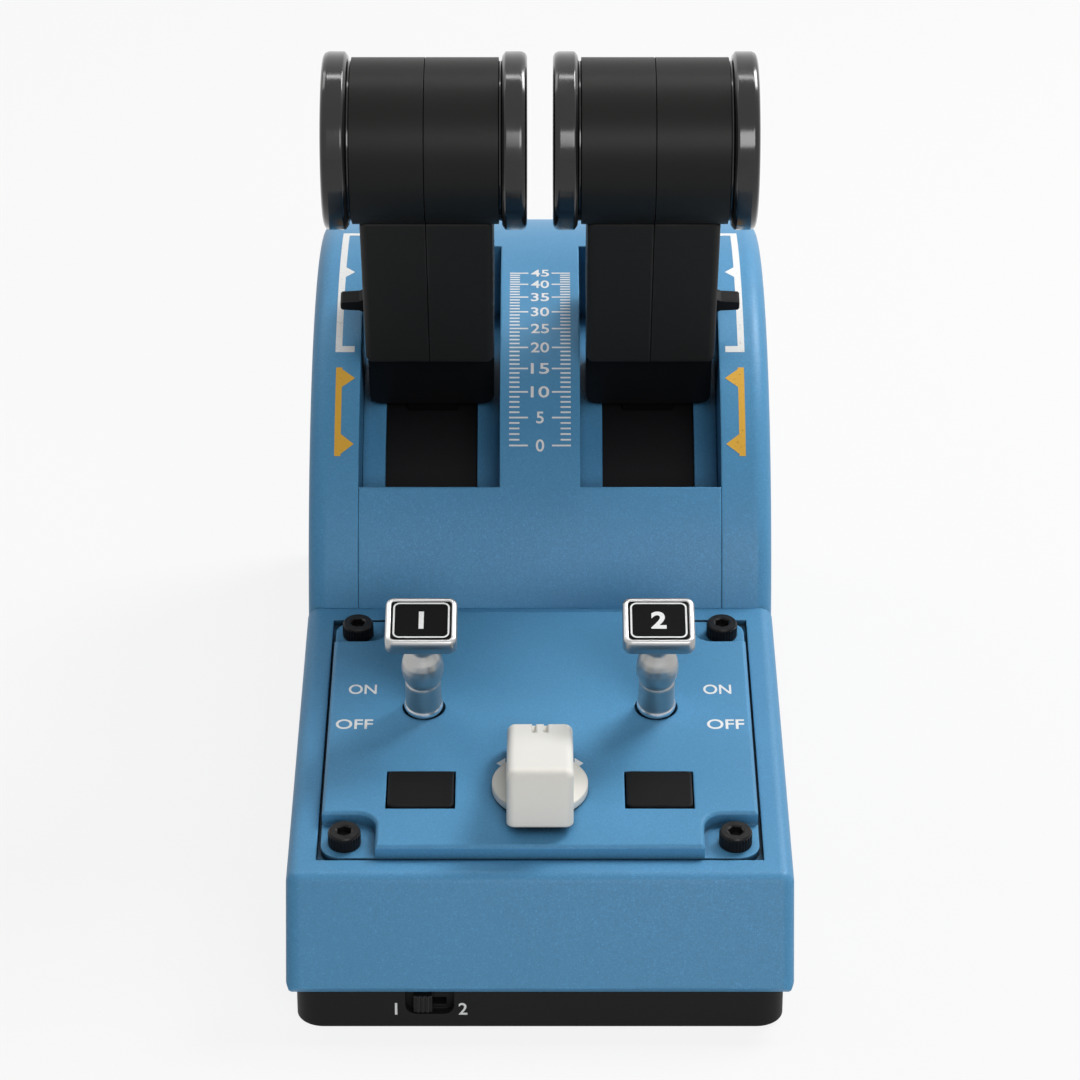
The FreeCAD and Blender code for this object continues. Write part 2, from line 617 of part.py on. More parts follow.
def deck_screws():
    """Socket-head screws that hold the control panel."""
    screws = []
    for x, y in corners("panel_screw_x", "panel_start + panel_screw_inset",
                        "panel_start + panel_length - panel_screw_inset"):
        body = new_body("deck_screw")
        deep = "(screw_head_rise / 2)"
        outline = [("0", "-screw_length"), ("screw_core", "-screw_length"), ("screw_core", "0"),
                   ("screw_head", "0"), ("screw_head", "screw_head_rise"),
                   ("screw_socket", "screw_head_rise"), ("screw_socket", deep), ("0", deep)]
        turn(body, draw(sketch_on(body, "XZ_Plane"), outline))
        chamfer(body, "screw_head / 10",
                lambda middle, along, bounds: (at_top(middle, along, bounds)
                                               and middle.x ** 2 + middle.y ** 2 > bounds.XMax ** 2 - 0.1))
        screws.append(place(body, x, y, "0"))
    on_deck("deck_screws", *screws)


def switch_parts():
    """Switch board under the panel with the bodies of its switches."""
    margin = "2 * panel_ledge + 1"
    on_deck("switch_board", block(("0", "panel_width - 2 * (%s)" % margin),
                                  ("panel_mid - 38.5", "panel_mid + 38.5"),
                                  ("board_top - board_thickness", "board_top")))
    cases = []
    for number, side in SIDES:
        x = "%d * toggle_offset" % side
        case = block((x, "toggle_case_width"),
                     ("toggle_along - toggle_case_length / 2", "toggle_along + toggle_case_length / 2"),
                     ("board_top", "-panel_sink"))
        well = rod_z("toggle_case_well", x, "toggle_along", ("board_top + 2", "0"))
        cases.append(cut(case, well))
    on_deck("toggle_switch_cases", *cases)
    case = rod_z("rotary_case", "0", "knob_along", ("board_top", "-panel_sink"))
    bore = rod_z("knob_shaft + shaft_clearance", "0", "knob_along", ("board_top + 2", "0"))
    on_deck("rotary_switch_case", cut(case, bore))
    on_deck("button_switches", *[
        block(("%d * button_offset" % side, "6"), ("button_along - 3", "button_along + 3"),
              ("board_top", "board_top + 3.5")) for number, side in SIDES])


def toggle(number, side):
    """Bat toggle: a turned satin stem with a ball at its pivot, and a square cap with its label."""
    stem = new_body("stem")
    lower = "toggle_ball * 0.95"
    outline = [("0", "-tail_length"), ("toggle_tail", "-tail_length"), ("toggle_tail", "-2.5"),
               ("toggle_ball * 0.7", "-toggle_ball * 0.7"), ("toggle_ball", "-toggle_ball * 0.25"),
               ("toggle_ball", "toggle_ball * 0.25"), ("toggle_ball * 0.85", "toggle_ball * 0.7"),
               ("toggle_stem * 0.8", lower), ("toggle_stem", "toggle_ball * 1.25"),
               ("toggle_stem", "toggle_height * 0.32"), ("toggle_bulb", "toggle_height * 0.55"),
               ("toggle_bulb", "toggle_height * 0.65"), ("toggle_bulb * 0.93", "toggle_height * 0.72"),
               ("toggle_bulb * 0.78", "toggle_height * 0.8"), ("toggle_neck", "toggle_height * 0.87"),
               ("toggle_neck", "toggle_height"),
               ("0", "toggle_height")]
    turn(stem, draw(sketch_on(stem, "XZ_Plane"), outline))
    on_toggle("toggle_%d_stem" % number, side, stem)
    cap = new_body("cap")
    wide, deep = "cap_width / 2", "cap_length / 2"
    pad(cap, draw(sketch_on(cap, "XY_Plane", "toggle_height"),
                  rectangle(("-" + wide, wide), ("-" + deep, deep))), "cap_height")
    fillet(cap, "cap_corner", upright)
    fillet(cap, "cap_corner * 0.3", at_top)
    wide, deep = "(cap_width / 2 - label_margin)", "(cap_length / 2 - label_margin)"
    pocket(cap, draw(sketch_on(cap, "XY_Plane", "toggle_height + cap_height - label_depth"),
                     rectangle(("-" + wide, wide), ("-" + deep, deep))), "label_depth + 1")
    on_toggle("toggle_%d_cap" % number, side, cap)
    label = block(("0", "cap_width - 2 * label_margin - fit_gap"),
                  ("-%s + fit_gap / 2" % deep, deep + " - fit_gap / 2"),
                  ("toggle_height + cap_height - label_depth", "toggle_height + cap_height - 0.1"))
    on_toggle("toggle_%d_label" % number, side, label)


def selector_knob():
    """Wedge-shaped bar knob on a round skirt, with two pointer grooves at its back edge."""
    body = new_body("knob")
    low = "panel_rise + knob_lift + disc_height"
    half = "knob_length / 2"
    outline = [("knob_along - " + half, low), ("knob_along + " + half, low),
               ("knob_along + %s - 0.6" % half, low + " + knob_back - disc_height"),
               ("knob_along - %s + 0.8" % half, low + " + knob_front - disc_height")]
    pad(body, draw(sketch_on(body, "YZ_Plane", "-knob_width / 2"), outline), "knob_width")
    fillet(body, "knob_corner", lambda middle, along, bounds: middle.z > bounds.ZMin + 0.01)
    notches = []
    for sign in ("-", ""):
        notches.append(block((sign + "notch_spacing / 2", "notch_width"),
                             ("knob_along + %s - notch_length" % half, "knob_along + %s + 1" % half),
                             (low + " + knob_back - disc_height - notch_depth", low + " + knob_front")))
    disc = rod_z("knob_disc", "0", "knob_along", ("panel_rise + knob_lift", low))
    shaft = rod_z("knob_shaft", "0", "knob_along", ("board_top + 2.5", "panel_rise + knob_lift + 0.1"))
    on_deck("selector_knob", cut(body, *notches))
    on_deck("knob_skirt", join(disc, shaft))


def push_button(number, side):
    """Square push button: cap, stop flange under the panel and a stem to its switch."""
    x = "%d * button_offset" % side
    body = new_body("button")
    wide, deep = "button_width / 2", "button_length / 2"
    bottom = "-panel_sink - rest_gap"
    outline = rectangle(("%s - %s" % (x, wide), "%s + %s" % (x, wide)),
                        ("button_along - " + deep, "button_along + " + deep))
    pad(body, draw(sketch_on(body, "XY_Plane", bottom), outline),
        "panel_rise + button_rise - (%s)" % bottom)
    fillet(body, "button_corner", upright)
    fillet(body, "button_corner / 3", at_top)
    flange = block((x, "button_width + 2"),
                   ("button_along - %s - 1" % deep, "button_along + %s + 1" % deep),
                   (bottom + " - button_flange", bottom))
    stem = rod_z("button_stem", x, "button_along",
                 ("board_top + 3.5 + button_travel + rest_gap", bottom + " - button_flange"))
    on_deck("push_button_%d" % number, join(body, flange, stem))


def bank_slide():
    """Slide selector for the engine bank, in the front of the base."""
    middle = "slide_offset - slide_travel / 2"
    back = "base_front + slide_block_depth"
    thumb = block((middle, "slide_thumb"), ("base_front + 0.3", "base_front + slide_recess_depth - 0.3"),
                  ("base_top - 5.6", "base_top - 1.6"))
    ribs = [block((middle + " + %d" % place_x, "0.5"), ("base_front", "base_front + 1"),
                  ("base_top - 5.6", "base_top - 1.6")) for place_x in (-1, 0, 1)]
    stem = block((middle, "slide_thumb - 0.6"), ("base_front + 1", back + " + 1"),
                 ("base_top - 5 + 0.3", "base_top - 5 + slide_slot - 0.3"))
    node("bank_slider", join(thumb, stem, *ribs))
    case = block(("slide_offset", "slide_recess_width + 4"), (back, back + " + 5"),
                 ("floor_top", "base_top - 0.5"))
    well = block(("slide_offset", "slide_thumb + slide_travel + 1"), (back + " - 1", back + " + 1.5"),
                 ("base_top - 5", "base_top - 5 + slide_slot"))
    node("slide_switch_case", cut(case, well))


def axle_and_carriers():
    """Axle across the casing in three brackets, with washers, the sensor boards and end clips."""
    outer = "bracket_inner + bracket_width"
    end = outer + " + 2"
    y, z = "pivot_y", "pivot_height"
    axle = rod_x("axle_radius", ("-(%s)" % end, end), y, z)
    node("lever_axle", axle)
    node("side_brackets", *[bracket(sided(side, "bracket_inner", outer)) for number, side in SIDES])
    carrier = block(("0", "centre_bracket_width"), ("pivot_y - 6", "pivot_y + 6"),
                    ("pivot_height + bracket_top - 1", "pivot_height + washer_radius + 12"))
    middle = bracket(("-centre_bracket_width / 2", "centre_bracket_width / 2"))
    node("centre_bracket", join(middle, carrier))
    rings = [("-(%s)" % end, "-(%s)" % outer), (outer, end)]
    node("axle_clips", *[ring_x("axle_radius + 2", "axle_radius", ring) for ring in rings])
    inner = "lever_offset - hub_width / 2"
    washers = []
    for number, side in SIDES:
        washers.append(ring_x("washer_radius", "bore_radius",
                              sided(side, "centre_bracket_width / 2", inner + " - rest_gap")))
        washers.append(ring_x("washer_radius", "bore_radius",
                              sided(side, "lever_offset + hub_width / 2 + rest_gap", "bracket_inner")))
    node("thrust_washers", *washers)


def ring_x(outer, inner, x):
    wide = (x[0] + " - 1", x[1] + " + 1")
    return cut(rod_x(outer, x, "pivot_y", "pivot_height"), rod_x(inner, wide, "pivot_y", "pivot_height"))


def bracket(x):
    """Upright plate with a round head, a foot on the tray and a bore for the axle."""
    body = new_body("bracket")
    low, high = "pivot_y - bracket_half_depth", "pivot_y + bracket_half_depth"
    outline = [(low, "floor_top"), (high, "floor_top"), ("pivot_y + bracket_top", "pivot_height"),
               ("pivot_y + bracket_top * 0.7", "pivot_height + bracket_top"),
               ("pivot_y - bracket_top * 0.7", "pivot_height + bracket_top"),
               ("pivot_y - bracket_top", "pivot_height")]
    pad(body, draw(sketch_on(body, "YZ_Plane", x[0]), outline), "(%s) - (%s)" % (x[1], x[0]))
    bore = circle(sketch_on(body, "YZ_Plane", x[0] + " - 1"), "pivot_y", "pivot_height", "axle_radius")
    pocket(body, bore, "(%s) - (%s) + 2" % (x[1], x[0]))
    return body


def electronics():
    """Main board at the back with its USB inlet, and the two lever sensors."""
    y = ("board_y - main_board_length / 2", "board_y + main_board_length / 2")
    node("main_board", block(("0", "main_board_width"), y, ("board_z", "board_z + board_thickness")))
    low = "board_z + board_thickness"
    shell = block(("0", "socket_width"), ("rear_edge - socket_length", "rear_edge"),
                  (low, low + " + socket_height"))
    wall_x = "(socket_width - socket_slot_width) / 2"
    wall_z = "(socket_height - socket_slot_height) / 2"
    mouth = block(("0", "socket_slot_width"), ("rear_edge - socket_length + 1", "rear_edge + 1"),
                  ("%s + %s" % (low, wall_z), "%s + socket_height - %s" % (low, wall_z)))
    tongue = block(("0", "socket_slot_width - 1.6"), ("rear_edge - socket_length", "rear_edge - 1"),
                   (low + " + socket_height / 2 - 0.35", low + " + socket_height / 2 + 0.35"))
    node("usb_socket", join(cut(shell, mouth), tongue))
    sensors = []
    for number, side in SIDES:
        x = sided(side, "centre_bracket_width / 2", "centre_bracket_width / 2 + board_thickness")
        sensors.append(box(x, ("pivot_y - 7", "pivot_y + 7"),
                           ("pivot_height + washer_radius + 0.4", "pivot_height + washer_radius + 12")))
    node("lever_sensors", *sensors)


def lever(number, side):
    """One lever: arm, foot block, two shroud halves, pointer, barrel halves, rings and button."""
    name = "lever_%d_" % number
    head = "barrel_radius - barrel_wall - fit_gap"
    half = "head_half_width"
    arm = block(("0", "arm_width"), ("-arm_half_depth", "arm_half_depth"), ("0", "arm_top"))
    hub = rod_x("hub_radius", ("-hub_width / 2", "hub_width / 2"))
    crown = rod_x(head, ("-" + half, half), "0", "grip_height")
    bore = rod_x("bore_radius", ("-hub_width", "hub_width"))
    on_lever(name + "arm", side, cut(join(arm, hub, crown), bore))
    slim = block(("0", "arm_width + 2 * fit_gap"),
                 ("-arm_half_depth - fit_gap", "arm_half_depth + fit_gap"), ("0", "arm_top + 30"))
    foot = new_body("foot")
    wide = "box_width / 2 - 0.2"
    profile = rectangle(("-(%s)" % wide, wide), ("foot_start", "box_start"))
    pad(foot, draw(sketch_on(foot, "XZ_Plane", "-foot_half_depth"), profile), "2 * foot_half_depth")
    fillet(foot, "foot_corner",
           lambda middle, along, bounds: abs(along.y) > 0.99 and middle.z < bounds.ZMax - 1)
    on_lever(name + "foot", side, cut(foot, slim))
    for half_name, sign in (("inner", -side), ("outer", side)):
        shroud = new_body("shroud")
        x = sided(sign, "seam", "box_width / 2")
        outline = rectangle(("-box_half_depth", "box_half_depth"), ("box_start", "grip_height"))
        pad(shroud, draw(sketch_on(shroud, "YZ_Plane", x[0]), outline), "box_width / 2 - seam")
        fillet(shroud, "box_corner",
               lambda middle, along, bounds: (abs(middle.x) > 0.9 * max(bounds.XMax, -bounds.XMin)
                                              and (upright(middle, along, bounds)
                                                   or at_bottom(middle, along, bounds))))
        saddle = rod_x("barrel_radius + fit_gap", ("-box_width", "box_width"), "0", "grip_height")
        tools = [slim, saddle]
        on_lever(name + "shroud_" + half_name, side, cut(shroud, *tools))
        barrel_x = sided(sign, "seam", "barrel_half")
        tube = rod_x("barrel_radius", barrel_x, "0", "grip_height")
        inside = rod_x("barrel_radius - barrel_wall",
                       sided(sign, "-1", "barrel_half - barrel_wall"), "0", "grip_height")
        doorway = block(("0", "arm_width + 2 * fit_gap"),
                        ("-arm_half_depth - fit_gap", "arm_half_depth + fit_gap"),
                        ("grip_height - 30", "grip_height"))
        end_hole = rod_x("ring_bore + trim_flange + 1", sided(sign, "0", "grip_width"), "0", "grip_height")
        on_lever(name + "barrel_" + half_name, side, cut(tube, inside, doorway, end_hole))
        on_lever(name + "ring_" + half_name, side, end_ring(sign, half_name == "outer"))
    shutter(name, side)
    pointer(name, side)
    face = "grip_width / 2"
    stop = face + " - ring_web - rest_gap"
    cap = rod_x("trim_button", sided(side, face + " - ring_web - 1", face + " + trim_button_rise"),
                "0", "grip_height")
    flange = rod_x("trim_button + trim_flange", sided(side, stop + " - 1.2", stop), "0", "grip_height")
    on_lever(name + "button", side, join(cap, flange))
    switch = box(sided(side, half, "grip_width / 2 - ring_web - 1.2 - 2 * rest_gap - trim_travel"),
                 ("-3", "3"), ("grip_height - 3", "grip_height + 3"))
    on_lever(name + "button_switch", side, switch)
    sensor_face = "centre_bracket_width / 2 + board_thickness + sensor_gap"
    reach = sided(-side, "arm_width / 2", "lever_offset - (%s)" % sensor_face)
    on_lever(name + "magnet", side, rod_x("magnet_radius", reach, "0", "hub_radius + magnet_radius + 0.5"))


def end_ring(sign, open_face):
    """End ring of a grip: turned about the barrel's axis, hollow inside, rounded at its rim.

    The outer ring is open in the middle for its button; the inner one is closed.
    """
    body = new_body("ring")
    start, face = "barrel_half", "grip_width / 2"
    web = face + " - ring_web"
    bore = "ring_bore" if open_face else "0"
    spigot = "barrel_radius - barrel_wall - 1"
    outline = [(web, bore), (face, bore), (face, "ring_radius - ring_round"),
               (face + " - ring_round * 0.3", "ring_radius - ring_round * 0.3"),
               (face + " - ring_round", "ring_radius"), (start + " + groove + 0.4", "ring_radius"),
               (start + " + groove", "ring_radius - 0.4"), (start + " + groove", "barrel_radius - groove"),
               (start, "barrel_radius - groove"), (start, spigot), (web, spigot)]
    if sign < 0:
        outline = [("-(%s)" % x, y) for x, y in outline]
    turn(body, draw(sketch_on(body, "XY_Plane"), outline), "H_Axis")
    return place(body, "0", "0", "grip_height")


def shutter(name, side):
    """Curved dust shutter carried by the arm just under the ledges, which closes the slot."""
    outer = "ledge_radius - ledge_thickness - shutter_gap"
    reach = "1.4 * ledge_radius"
    body = new_body("shutter")
    outline = [("0", "0")]
    for angle in ("-shutter_back", "-shutter_back / 3", "shutter_front / 3", "shutter_front"):
        outline.append(("-%s * sin(%s)" % (reach, angle), "%s * cos(%s)" % (reach, angle)))
    wide = "(slot_width + 2 * shutter_overlap)"
    pad(body, draw(sketch_on(body, "YZ_Plane", "-%s / 2" % wide), outline), wide)
    drum = rod_x(outer, ("-slot_width", "slot_width"))
    core = rod_x(outer + " - shutter_thickness", ("-slot_width - 1", "slot_width + 1"))
    doorway = block(("0", "arm_width + 2 * fit_gap"),
                    ("-arm_half_depth - fit_gap", "arm_half_depth + fit_gap"), ("0", "arm_top"))
    on_lever(name + "shutter", side, cut(common(body, drum), core, doorway))


def pointer(name, side):
    """Index fin on the outer face of the shroud: flared at its root and thin at its tip."""
    body = new_body("pointer")
    near, far = "box_width / 2", "box_width / 2 + pointer_reach"
    waist, mid = "pointer_reach * 0.28", "pointer_centre"
    outline = [(near, mid + " - pointer_root / 2"),
               (near + " + pointer_reach * 0.1", mid + " - pointer_root * 0.34"),
               (near + " + " + waist, mid + " - pointer_tip * 0.62"),
               (far + " - 0.4", mid + " - pointer_tip / 2"), (far, mid + " - pointer_tip * 0.3"),
               (far, mid + " + pointer_tip * 0.3"), (far + " - 0.4", mid + " + pointer_tip / 2"),
               (near + " + " + waist, mid + " + pointer_tip * 0.62"),
               (near + " + pointer_reach * 0.1", mid + " + pointer_root * 0.34"),
               (near, mid + " + pointer_root / 2")]
    if side < 0:
        outline = [("-(%s)" % x, y) for x, y in outline]
    pad(body, draw(sketch_on(body, "XZ_Plane", "-pointer_depth / 2"), outline), "pointer_depth")
    on_lever(name + "pointer", side, body)


base_pan()
fasteners_and_feet()
front_housing()
dome_centre()
cheek("left_cheek", -1)
cheek("right_cheek", 1)
deck_panel()
deck_screws()
switch_parts()
for number, side in SIDES:
    toggle(number, side)
    push_button(number, side)
    lever(number, side)
selector_knob()
bank_slide()
axle_and_carriers()
electronics()

doc.recompute()
for item in doc.Objects:
    if {"Invalid", "Error"} & set(item.State):
        raise RuntimeError("failed feature: %s %s %s" % (item.Name, item.Label, item.State))
os.makedirs("parts", exist_ok=True)
for item in nodes:
    shape = item.Shape
    if shape.isNull() or not shape.isValid() or not shape.Solids:
        raise RuntimeError("bad shape: " + item.Label)
    shape.exportStep(os.path.join("parts", item.Label + ".step"))
print("nodes:", len(nodes))
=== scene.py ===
import json
import math

import bmesh
import bpy
from mathutils import Matrix, Vector


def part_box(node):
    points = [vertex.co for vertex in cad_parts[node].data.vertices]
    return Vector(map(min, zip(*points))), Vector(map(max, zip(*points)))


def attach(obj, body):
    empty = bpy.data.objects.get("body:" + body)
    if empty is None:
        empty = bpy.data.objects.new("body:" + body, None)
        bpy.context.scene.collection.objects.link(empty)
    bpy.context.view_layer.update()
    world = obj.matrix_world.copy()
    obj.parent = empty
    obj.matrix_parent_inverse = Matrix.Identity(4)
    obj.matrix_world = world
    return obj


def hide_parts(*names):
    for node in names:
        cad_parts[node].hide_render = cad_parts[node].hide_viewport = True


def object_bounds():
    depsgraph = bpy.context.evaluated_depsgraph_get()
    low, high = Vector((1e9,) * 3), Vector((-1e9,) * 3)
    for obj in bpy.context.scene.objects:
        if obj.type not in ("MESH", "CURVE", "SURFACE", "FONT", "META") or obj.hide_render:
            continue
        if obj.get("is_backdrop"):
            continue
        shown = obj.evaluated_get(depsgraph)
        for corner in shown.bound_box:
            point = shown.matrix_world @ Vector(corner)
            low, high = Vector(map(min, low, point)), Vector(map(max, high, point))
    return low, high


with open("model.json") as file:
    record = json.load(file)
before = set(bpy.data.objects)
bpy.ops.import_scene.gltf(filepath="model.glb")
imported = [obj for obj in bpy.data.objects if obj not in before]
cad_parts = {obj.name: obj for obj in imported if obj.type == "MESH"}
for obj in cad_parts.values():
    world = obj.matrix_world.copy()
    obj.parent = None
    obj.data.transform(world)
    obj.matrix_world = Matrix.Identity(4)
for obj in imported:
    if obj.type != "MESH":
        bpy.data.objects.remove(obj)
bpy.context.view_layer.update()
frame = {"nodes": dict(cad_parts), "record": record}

nodes = frame["nodes"]
joints = {joint["name"]: joint for joint in frame["record"]["behaviour"]["joints"]}
MM = 0.001

# ---------------------------------------------------------------- desk, lamps and camera
# The quadrant stands on a plain pale desk sheet under soft studio lamps, seen by a seated
# pilot who looks down on it by 27 degrees through a long lens.

scene = bpy.context.scene
scene.view_settings.view_transform = "Standard"

VIEW_PITCH = math.radians(27.0)
VIEW_BACK = 726.6 * MM
VIEW_HEIGHT = 489.5 * MM
tray_low, tray_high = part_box("base_pan")


def add_object(name, data):
    """A new object in the scene that holds the given mesh, curve, lamp or camera."""
    item = bpy.data.objects.new(name, data)
    scene.collection.objects.link(item)
    return item


camera_data = bpy.data.cameras.new("pilot_view")
camera_data.lens = 133.33
camera_data.sensor_width = 36.0
camera_data.clip_end = 20.0
camera = add_object("pilot_view", camera_data)
camera.location = (0.0, tray_low[1] - VIEW_BACK, VIEW_HEIGHT)
camera.rotation_euler = (math.pi / 2 - VIEW_PITCH, 0.0, 0.0)
scene.camera = camera


def new_material(name, color, roughness, metallic=0.0, mirror=0.5):
    """A Principled material to build on; returns the material, its tree and the shader."""
    material = bpy.data.materials.new(name)
    material.use_nodes = True
    tree = material.node_tree
    shader = tree.nodes["Principled BSDF"]
    shader.inputs["Base Color"].default_value = (*color, 1.0)
    shader.inputs["Roughness"].default_value = roughness
    shader.inputs["Metallic"].default_value = metallic
    shader.inputs["Specular IOR Level"].default_value = mirror
    return material, tree, shader


def math_node(tree, operation, *items):
    """A math node whose inputs are sockets or plain numbers."""
    node = tree.nodes.new("ShaderNodeMath")
    node.operation = operation
    for socket, item in zip(node.inputs, items):
        if isinstance(item, (int, float)):
            socket.default_value = item
        else:
            tree.links.new(item, socket)
    return node.outputs[0]


def seen_directly(tree):
    """1 for what the camera sees straight, in a mirror or through glass; 0 for bounced light."""
    light_path = tree.nodes.new("ShaderNodeLightPath")
    seen = light_path.outputs["Is Camera Ray"]
    for ray in ("Is Glossy Ray", "Is Transmission Ray"):
        seen = math_node(tree, "MAXIMUM", seen, light_path.outputs[ray])
    return seen


def show_directly(tree, seen, bounced, shown, output):
    """Use one shader for what is seen directly and another for the light that bounces."""
    blend = tree.nodes.new("ShaderNodeMixShader")
    for source, target in ((seen, blend.inputs[0]), (bounced.outputs[0], blend.inputs[1]),
                           (shown.outputs[0], blend.inputs[2]),
                           (blend.outputs[0], output.inputs["Surface"])):
        tree.links.new(source, target)


sheet_mesh = bpy.data.meshes.new("desk_sheet")
SHEET_HALF = 3.0
SHEET_TOP = -0.05 * MM
SHEET_GLOW = 0.86
sheet_mesh.from_pydata([(x * SHEET_HALF, y * SHEET_HALF, SHEET_TOP)
                        for x, y in ((-1, -1), (1, -1), (1, 1), (-1, 1))], [], [(0, 1, 2, 3)])
desk_sheet = add_object("desk_sheet", sheet_mesh)
sheet_paint, tree, shader = new_material("desk_sheet", (0.60, 0.60, 0.60), 0.9)
show_directly(tree, math_node(tree, "MULTIPLY", seen_directly(tree), SHEET_GLOW), shader,
              tree.nodes.new("ShaderNodeEmission"), tree.nodes["Material Output"])
sheet_mesh.materials.append(sheet_paint)
desk_sheet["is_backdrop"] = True

studio = bpy.data.worlds.new("studio")
scene.world = studio
studio.use_nodes = True
tree = studio.node_tree
tree.nodes.clear()
room = tree.nodes.new("ShaderNodeBackground")
room.inputs["Color"].default_value = (0.93, 0.96, 1.0, 1.0)
room.inputs["Strength"].default_value = 0.10
backdrop = tree.nodes.new("ShaderNodeBackground")
backdrop.inputs["Color"].default_value = (1.0, 1.0, 1.0, 1.0)
show_directly(tree, seen_directly(tree), room, backdrop, tree.nodes.new("ShaderNodeOutputWorld"))

LAMP_TARGET = Vector((0.0, 0.0, 0.07))


def soft_lamp(name, place, size, watts):
    """A rectangular soft box aimed at the middle of the quadrant."""
    data = bpy.data.lights.new(name, "AREA")
    data.shape = "RECTANGLE"
    data.size, data.size_y = size
    data.energy = watts
    lamp = add_object(name, data)
    lamp.location = place
    aim = LAMP_TARGET - Vector(place)
    lamp.rotation_euler = aim.to_track_quat("-Z", "Y").to_euler()


soft_lamp("key_lamp", (0.55, 0.42, 0.85), (0.40, 0.40), 9.2)
soft_lamp("left_lamp", (-0.60, 0.42, 0.85), (0.40, 0.40), 1.7)
soft_lamp("top_lamp", (0.05, 0.42, 1.22), (0.70, 0.11), 2.4)
soft_lamp("front_lamp", (0.30, -1.15, 0.68), (0.62, 0.46), 7.4)

# ---------------------------------------------------------------- base tray
# The black tray under the casing: injection-moulded ABS with a fine spark-eroded grain and
# slightly polished edges. Its front wall has a round-bottomed recess for the bank slide.


def add_socket(group, name, direction, kind="Float", value=None):
    """A named input or output on a node group or a Geometry Nodes tree."""
    socket = group.interface.new_socket(name=name, in_out=direction,
                                        socket_type="NodeSocket" + kind)
    if value is not None:
        socket.default_value = value


def ramp_between(tree, value, low, high):
    """Map a value between two limits to 0..1, smoothly and clamped."""
    node = tree.nodes.new("ShaderNodeMapRange")
    node.interpolation_type = "SMOOTHSTEP"
    node.inputs["From Min"].default_value = low
    node.inputs["From Max"].default_value = high
    tree.links.new(value, node.inputs["Value"])
    return node.outputs["Result"]


def noise(tree, vector, scale, detail=2.0, roughness=0.5):
    node = tree.nodes.new("ShaderNodeTexNoise")
    node.inputs["Scale"].default_value = scale
    node.inputs["Detail"].default_value = detail
    node.inputs["Roughness"].default_value = roughness
    tree.links.new(vector, node.inputs["Vector"])
    return node.outputs["Fac"]


def object_place(tree):
    """Object coordinates, which move with the piece."""
    return tree.nodes.new("ShaderNodeTexCoord").outputs["Object"]


def stretched(tree, vector, scale, turn=(0.0, 0.0, 0.0)):
    """Coordinates scaled along each axis, for smears, rings and hairlines."""
    node = tree.nodes.new("ShaderNodeMapping")
    node.inputs["Rotation"].default_value = turn
    node.inputs["Scale"].default_value = scale
    tree.links.new(vector, node.inputs["Vector"])
    return node.outputs["Vector"]


def set_look(tree, shader, color, roughness):
    """Feed a shader from a colour socket and a roughness socket."""
    tree.links.new(color, shader.inputs["Base Color"])
    tree.links.new(roughness, shader.inputs["Roughness"])


def add_relief(tree, shader, height, strength, distance, normal=None):
    """Bump a shader's normal by a height socket, over a distance in millimetres."""
    relief = tree.nodes.new("ShaderNodeBump")
    relief.inputs["Strength"].default_value = strength
    relief.inputs["Distance"].default_value = distance * MM
    tree.links.new(height, relief.inputs["Height"])
    if normal is not None:
        tree.links.new(normal, relief.inputs["Normal"])
    tree.links.new(relief.outputs["Normal"], shader.inputs["Normal"])


def shade(color, factor):
    return tuple(min(1.0, channel * factor) for channel in color)


# Colour sockets of a Mix node, which carries a set of sockets for every type of value.
MIX_FIRST, MIX_SECOND, MIX_RESULT = 6, 7, 2


def darker(tree, color, amount):
    """A colour socket multiplied down by the given share."""
    node = tree.nodes.new("ShaderNodeMix")
    node.data_type = "RGBA"
    node.blend_type = "MULTIPLY"
    node.inputs["Factor"].default_value = 1.0
    keep = 1.0 - amount
    node.inputs[MIX_SECOND].default_value = (keep, keep, keep, 1.0)
    tree.links.new(color, node.inputs[MIX_FIRST])
    return node.outputs[MIX_RESULT]


def mix_color(tree, factor, first=None, second=None, first_socket=None, second_socket=None):
    """Blend two colours, each a plain colour or a socket, by a factor socket."""
    node = tree.nodes.new("ShaderNodeMix")
    node.data_type = "RGBA"
    tree.links.new(factor, node.inputs["Factor"])
    for index, plain, socket in ((MIX_FIRST, first, first_socket),
                                 (MIX_SECOND, second, second_socket)):
        if socket is not None:
            tree.links.new(socket, node.inputs[index])
        else:
            node.inputs[index].default_value = (*plain, 1.0)
    return node.outputs[MIX_RESULT]


